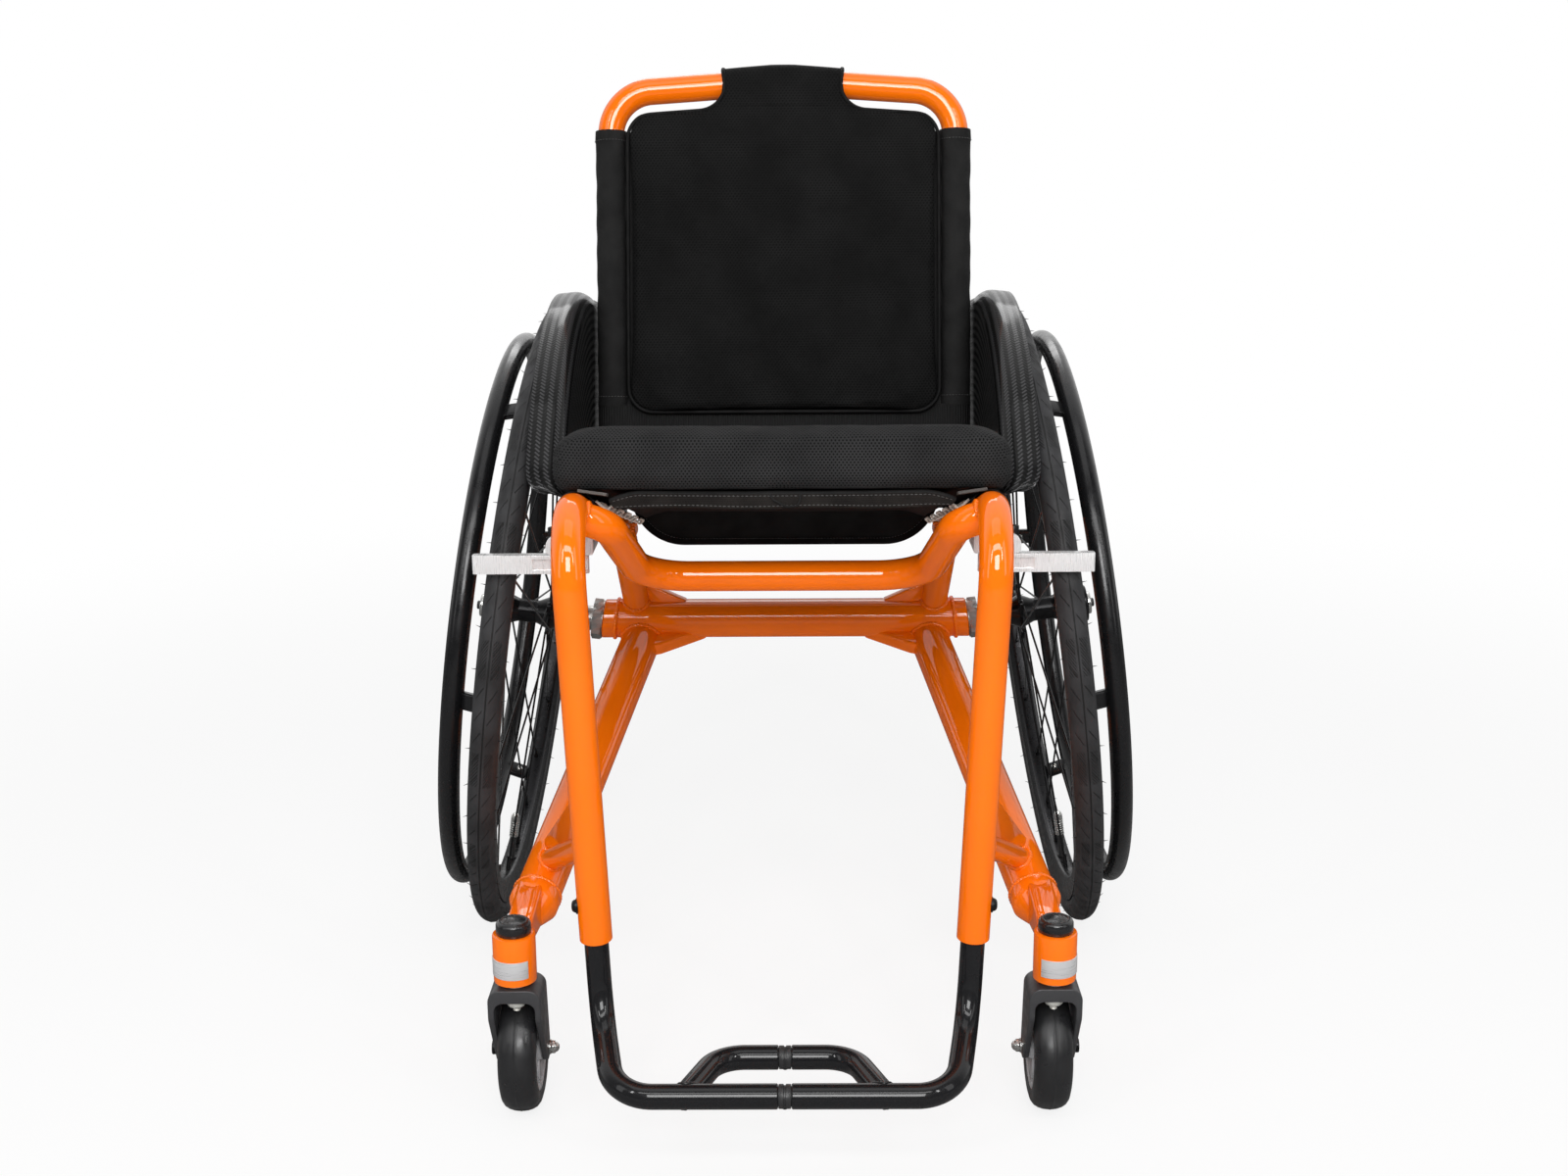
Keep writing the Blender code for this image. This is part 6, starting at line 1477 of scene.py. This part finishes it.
def swollen(item, voxel, pressure, cap, keep=None):
    """Remeshes a closed shape and lets its cover swell under pressure, each point by at most the cap."""
    grid = item.modifiers.new("voxels", "REMESH")
    grid.mode, grid.voxel_size = "VOXEL", voxel
    item = settled(item)
    start = [v.co.copy() for v in item.data.vertices]
    cloth = item.modifiers.new("cover", "CLOTH")
    setup = cloth.settings
    setup.use_pressure, setup.uniform_pressure_force = True, pressure
    setup.quality, setup.mass = 6, 0.3
    setup.tension_stiffness = setup.compression_stiffness = 25
    setup.effector_weights.gravity = 0
    cloth.point_cache.frame_start, cloth.point_cache.frame_end = 1, 20
    for step in range(1, 21):
        bpy.context.scene.frame_set(step)
    item = settled(item)
    bpy.context.scene.frame_set(1)
    for vertex, first in zip(item.data.vertices, start):
        push = vertex.co - first
        if push.length > cap:
            push *= cap / push.length
        vertex.co = first + push * (keep(first) if keep else 1.0)
    finer = item.modifiers.new("finer", "SUBSURF")
    finer.levels = finer.render_levels = 1
    return settled(item)


CUSHION_HALF, CUSHION_LOW, CUSHION_HIGH = 0.175, 0.0160, 0.0638
CUSHION_FRONT, CUSHION_REAR = -0.402 / cos(SEAT_DUMP), -0.014 / cos(SEAT_DUMP)
footprint = [(-CUSHION_HALF + 0.003, CUSHION_FRONT + 0.004), (CUSHION_HALF - 0.003, CUSHION_FRONT + 0.004),
    (CUSHION_HALF - 0.003, CUSHION_REAR - 0.004), (-CUSHION_HALF + 0.003, CUSHION_REAR - 0.004)]
block = slab(rounded(footprint, 0.024, 10, closed=True), CUSHION_LOW, CUSHION_HIGH - 0.0050, "Z")
block = bevelled(block, 0.011, 5, 60)
cushion = swollen(block, 0.0050, 4.0, 0.0075)
widest = max(abs(v.co.x) for v in cushion.data.vertices)
for vertex in cushion.data.vertices:
    place = vertex.co
    ahead = min(1.0, max(0.0, (-0.272 - place.y) / 0.04))
    place.x *= (0.1762 + 0.0016 * ahead * ahead * (3 - 2 * ahead)) / widest
    place.z = max(place.z, CUSHION_LOW)
    near_base = max(0.0, 1 - abs(place.z - (CUSHION_LOW + 0.0045)) / 0.0035)
    at_side = max(abs(place.x) / CUSHION_HALF, abs(place.y - (CUSHION_FRONT + CUSHION_REAR) / 2) / 0.2)
    if near_base > 0 and at_side > 0.94:
        middle = Vector((0, (CUSHION_FRONT + CUSHION_REAR) / 2, place.z))
        place -= (place - middle).normalized() * 0.0012 * near_base
    low_corner = max(0.0, abs(place.x) / CUSHION_HALF - 0.80) / 0.20
    if place.z > 0.040:
        place.z -= 0.0030 * min(1.0, low_corner) ** 2
finished(moved(cushion, SEAT), "seat_cushion_cover", "frame", spacer, ["seat_cushion"],
    180)
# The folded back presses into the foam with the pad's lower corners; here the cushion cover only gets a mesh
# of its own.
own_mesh(bpy.data.objects["seat_cushion_cover"])


# Back hoop
# One tube bent over the shoulders carries the back. Its feet are flattened into lugs that turn
# on the hinge pins.
POST_X, HOOP_TOP, HOOP_CROWN, LEAN = 0.167, 0.3535, radians(3.9), radians(11.0)
HINGE = Vector((0, 0.0225, 0.462))
BACK = Matrix.Translation(HINGE) @ Matrix.Rotation(-LEAN, 4, "X")
hoop_corner = HOOP_TOP - POST_X * tan(HOOP_CROWN)
hoop_points = [(POST_X, 0, 0.036), (POST_X, 0, hoop_corner), (0, 0, HOOP_TOP), (-POST_X, 0, hoop_corner),
    (-POST_X, 0, 0.036)]
hoop = bar(rounded(hoop_points, (0, 0.042, 0.25, 0.042, 0), 20), TUBE_R, 40)
lug_outline = rounded([(-0.0085, 0.048), (-0.012, -0.012), (0.012, -0.012), (0.0085, 0.048)],
    (0, 0.0108, 0.0108, 0), 10, closed=True)
lug = slab(lug_outline, POST_X - 0.0048, POST_X + 0.0048, "X")
lug_hole = moved(spun([(0, -0.01), (0.0046, -0.01), (0.0046, 0.01), (0, 0.01)], 32),
    aimed((POST_X, 0, 0), (1, 0, 0)))
lug = bevelled(cut(lug, lug_hole), 0.0008, 3, 40)
finished(moved(together(hoop, mirrored(lug), lug), BACK), "back_hoop_coated", "back",
    orange, ["back_hoop"])


# Back cover
# A woven sheet joins two sleeves that slide down over the posts, and a tail with round corners
# hangs from it behind the cushion.
SHEET_BACK, SHEET_WALL = -0.0045, 0.0022
SLEEVE_LOW, SLEEVE_HIGH, TAIL_HALF, TAIL_LOW, TAIL_CORNER = 0.040, 0.306, 0.148, -0.092, 0.050


def sheet_half(z):
    """Half the sheet's width at this height, with the tail's round corners."""
    if z > SLEEVE_LOW:
        return POST_X - COVER_OUT + 0.0008
    drop = max(0.0, TAIL_LOW + TAIL_CORNER - z)
    return TAIL_HALF - TAIL_CORNER + sqrt(max(0.0, TAIL_CORNER ** 2 - drop ** 2))


def cover_push(x, z):
    """How far the stretched cloth stands forward or back of its plane at a place."""
    sag = 0.0010 * cos(pi / 2 * min(1.0, abs(x) / TAIL_HALF)) * (1.0 if z > 0 else 0.3)
    return sag + 0.0004 * sin(z * 70 + 0.5) * sin(x * 40)


levels = [TAIL_LOW + TAIL_CORNER * (1 - cos(pi / 2 * k / 14)) for k in range(15)]
levels += [TAIL_LOW + TAIL_CORNER + (SLEEVE_HIGH - 0.002 - TAIL_LOW - TAIL_CORNER) * k / 70
    for k in range(1, 71)]
rows = []
for z in levels:
    half = sheet_half(z)
    rows.append([(x, SHEET_BACK - SHEET_WALL / 2 + cover_push(x, z) * 0.4, z)
        for x in (half * (2 * j / 60 - 1) for j in range(61))])
back_sheet = moved(skin(rows, 0.0018, 0.0), BACK)
finished(back_sheet, "back_cover_sheet", "back", woven, ["back_cover"])
sheet_middle = SHEET_BACK - SHEET_WALL / 2
edge_points = [(TAIL_HALF, sheet_middle, 0.030), (TAIL_HALF, sheet_middle, TAIL_LOW),
    (-TAIL_HALF, sheet_middle, TAIL_LOW), (-TAIL_HALF, sheet_middle, 0.030)]
edge_path = rounded(edge_points, (0, TAIL_CORNER, TAIL_CORNER, 0), 24)
binding_cloth, tree, shader = principled("black_edge_binding", (0.014, 0.014, 0.015), 0.62,
    Specular_IOR_Level=0.12)
ribs = add(tree, "TexWave", {"Vector": places(tree), "Scale": 420.0, "Distortion": 1.5},
    bands_direction="DIAGONAL")
vary(tree, shader, "Base Color", (0.004, 0.004, 0.004), (0.008, 0.008, 0.008), 60.0)
roughen(tree, shader, ribs.outputs["Fac"], 0.30, 0.0002)


def band_section(width, height, corner):
    flat = square(-width / 2, width / 2, -height / 2, height / 2)
    return [(p.x, p.y) for p in rounded(flat, corner, 4, closed=True)]


tail_binding = swept(edge_path, band_section(0.0070, 0.0038, 0.0016), up=(0, 1, 0))
tail_stitches = stitches([(p.x * 0.985, SHEET_BACK - SHEET_WALL - 0.0010,
    p.z + (0.0026 if p.z < -0.03 else 0.0)) for p in edge_path])
finished(moved(tail_binding, BACK), "tail_binding", "back", binding_cloth)

sleeve_rows = []
for i in range(91):
    z = SLEEVE_LOW + (SLEEVE_HIGH - SLEEVE_LOW) * i / 90
    hem_band = 0.0005 if z > SLEEVE_HIGH - 0.011 or z < SLEEVE_LOW + 0.011 else 0.0
    row = []
    for a in angles(48):
        crease = 0.00028 * sin(z * 96 + 3 * a) * sin(a + z * 31) + 0.0002 * sin(z * 240 + a * 2)
        r = COVER_R + 0.0003 + hem_band + crease
        row.append((POST_X + r * cos(a), r * sin(a), z))
    sleeve_rows.append(row)
sleeve = moved(skin(sleeve_rows, 0.0010, 1.0, closed=True), BACK)
rings = []
for z in (SLEEVE_HIGH - 0.0095, SLEEVE_LOW + 0.0095):
    rings.append([(POST_X + x, y, z) for x, y in circle(COVER_OUT + 0.0006, 48)])
both(sleeve, "back_sleeve_cloth", "back", woven)
both(moved(stitches(*rings, pitch=0.0032, closed=True), BACK), "back_sleeve_stitches",
    "back", sewing_thread)
finished(moved(tail_stitches, BACK), "tail_stitches", "back", sewing_thread)


# Back pad
# A foam pad in the same spacer mesh hangs on the sheet. It narrows through two hollow curves to
# a neck that folds over the hoop, and a woven binding runs round its edge.
pad_mesh = mesh_cloth("back_spacer_mesh", (0.016, 0.016, 0.016), 0.82, 0.0033, 0.0024, 0.0006,
    (0.0055, 0.0055, 0.0055), (0.0095, 0.0095, 0.0095), 0.5)
PAD_BACK, PAD_FRONT, PAD_LOW, NECK_HALF = -0.0072, -0.0188, 0.034, 0.0570
outline = rounded([(0, PAD_LOW), (0.1512, PAD_LOW), (0.1500, 0.3200), (0.0640, 0.3262), (NECK_HALF, 0.3440)],
    (0, 0.024, 0.026, 0.026, 0), 14)
fold_r = 0.0146


def pad_middle(run):
    """Place, forward way and thickness of the pad at a run up its front, over the hoop and down."""
    straight = 0.3400
    front = (PAD_BACK + PAD_FRONT) / 2
    if run <= straight:
        share = max(0.0, (run - 0.316) / (straight - 0.316))
        ease = share * share * (3 - 2 * share)
        return Vector((0, front + (-fold_r - front) * ease, run)), Vector((0, -1, 0)), 0.0100 - 0.0070 * ease
    up = HOOP_TOP - straight
    if run <= straight + up:
        return Vector((0, -fold_r, run)), Vector((0, -1, 0)), 0.0030
    turn = (run - straight - up) / fold_r
    if turn <= pi:
        return (Vector((0, -fold_r * cos(turn), HOOP_TOP + fold_r * sin(turn))),
            Vector((0, -cos(turn), sin(turn))), 0.0030)
    return Vector((0, fold_r, HOOP_TOP - (turn - pi) * fold_r)), Vector((0, 1, 0)), 0.0030


def crowned(place):
    """Lets the neck follow the hoop's crown down towards its sides."""
    share = min(1.0, max(0.0, (place.z - 0.318) / 0.025))
    return Vector((place.x, place.y, place.z - 0.068 * max(0.0, abs(place.x) - 0.010) * share))


neck_end = HOOP_TOP + fold_r * pi + (HOOP_TOP - 0.300)
stations = [(p.y, p.x) for p in outline if p.x > 0.02]
stations += [(0.3440 + (neck_end - 0.3440) * k / 40, NECK_HALF - 0.0008 * sin(k * 0.5)) for k in range(1, 41)]


def padding(part, inset, sides=44):
    """A closed shape from the pad's cross-sections at these stations."""
    shape = bmesh.new()
    rings = []
    for run, half in part:
        middle, way, thick = pad_middle(run)
        half = max(0.010, half - inset)
        ring = []
        for a in angles(sides):
            c, s = cos(a), sin(a)
            wide = (half - thick / 2) * (1 if c > 0 else -1) * min(1.0, abs(c) * 1.25) + thick / 2 * c
            ring.append(shape.verts.new(crowned(middle + Vector((wide, 0, 0)) + way * (thick / 2 * s))))
        rings.append(ring)
    for low, high in zip(rings, rings[1:]):
        for j in range(sides):
            shape.faces.new((low[j], low[(j + 1) % sides], high[(j + 1) % sides], high[j]))
    shape.faces.new(rings[0])
    shape.faces.new(list(reversed(rings[-1])))
    return from_bmesh(shape, 1e-6)


panel = padding([(run, half) for run, half in stations if run < 0.3350], 0.0006)
pad = swollen(panel, 0.0029, 3.0, 0.0032, lambda p: min(1.0, max(0.0, (0.322 - p.z) / 0.03)))
for vertex in pad.data.vertices:
    place = vertex.co
    body = min(1.0, max(0.0, (0.325 - place.z) / 0.04)) * min(1.0, max(0.0, (0.148 - abs(place.x)) / 0.02))
    hollow = (0.0030 * sin(abs(place.x) * 46 + 0.6) * cos(place.z * 17)
        + 0.0014 * sin(place.x * 90 + place.z * 40) + 0.0016 * sin(place.z * 31 - place.x * 26))
    if place.y < (PAD_BACK + PAD_FRONT) / 2:
        place.y += hollow * body
    place.y = min(place.y, PAD_BACK)
neck = padding([(run, half) for run, half in stations if run > 0.3270], 0.0004, 80)
finished(moved(together(pad, neck), BACK), "back_pad_mesh", "back", pad_mesh,
    ["back_pad"], 180)

edge_left = []
for run, half in stations:
    middle, way, thick = pad_middle(run)
    edge_left.append(crowned(middle + Vector((half, 0, 0))))
edge_left = [Vector((0.020, edge_left[0].y, PAD_LOW))] + [p for p in edge_left if p.x > 0.02]
edge_run = edge_left[::-1] + [Vector((-p.x, p.y, p.z)) for p in edge_left]
edge_run = [edge_run[0]] + [p for q, p in zip(edge_run, edge_run[1:]) if (p - q).length > 0.0004]
pad_binding = swept(edge_run, band_section(0.0036, 0.0044, 0.0016))
finished(moved(pad_binding, BACK), "pad_binding", "back", binding_cloth)

strap_half = [(0.150 * k / 20, PAD_BACK - 0.0012, 0.0330 if k < 17 else 0.0410) for k in range(21)]
for k in range(15):
    a = radians(-125 + 120 * k / 14)
    strap_half.append((POST_X + 0.0140 * cos(a), 0.0140 * sin(a), 0.0410))
strap_line = [(-x, y, top) for x, y, top in reversed(strap_half[1:])] + strap_half
strap_rows = [[(x, y, 0.0140 + (top - 0.0140) * k / 8) for x, y, top in strap_line] for k in range(9)]
webbing, tree, shader = principled("ribbed_black_webbing", (0.014, 0.014, 0.014), 0.72,
    Specular_IOR_Level=0.12)
spot = add(tree, "SeparateXYZ", {0: places(tree)})
rib = maths(tree, "SINE", maths(tree, "MULTIPLY", spot, 2 * pi / 0.0024))
roughen(tree, shader, rib, 0.7, 0.0005)
connect(tree, eased(tree, rib, -1.0, 1.0, 0.62, 0.84), shader.inputs["Roughness"])
finished(moved(skin(strap_rows, 0.0018, 0.0), BACK), "back_waist_strap", "back", webbing)


# Back hinge brackets
# A black machined fork is fixed to each rail's end, and the hoop's lug turns in it on a steel
# pin with a retaining screw.
ear_in, ear_out, EAR, EAR_R = POST_X - 0.0051, POST_X + 0.0051, 0.0043, 0.013
HY, HZ, foot = HINGE.y, HINGE.z, rail(HINGE.y).z
bracket_points = [(HY - 0.0205, foot + 0.008), (HY + 0.0205, foot - 0.002), (HY + 0.0165, HZ - 0.020),
    (HY + EAR_R, HZ + EAR_R), (HY - EAR_R, HZ + EAR_R), (HY - 0.0165, HZ - 0.020)]
bracket = slab(rounded(bracket_points, (0, 0, 0.01, EAR_R * 0.95, EAR_R * 0.95, 0.01), 10, closed=True),
    ear_in - EAR, ear_out + EAR, "X")
fork_slot = slab(square(HY - 0.05, HY + 0.05, HZ - 0.022, HZ + 0.05), ear_in, ear_out, "X")
rail_space = bar([rail(-0.10), rail(0.10)], TUBE_R + 0.0003, 48)
bracket = bevelled(cut(bracket, fork_slot, rail_space), 0.0007, 3, 35)
both(bracket, "hinge_bracket_machined", "frame", anodised, ["%_hinge_bracket"])
hinge_pin = moved(spun([(0, ear_in - EAR - 0.0012), (0.0030, ear_in - EAR - 0.0012),
    (0.0040, ear_in - EAR - 0.0004), (0.0040, ear_out + EAR), (0, ear_out + EAR)], 32),
    aimed((0, HY, HZ), (1, 0, 0)))
hinge_screw = moved(socket_screw(0.0052, 0.0030, 0.0018, 24), aimed((ear_out + EAR, HY, HZ), (1, 0, 0)))
both(together(hinge_pin, hinge_screw), "hinge_pin", "frame", bright_steel)
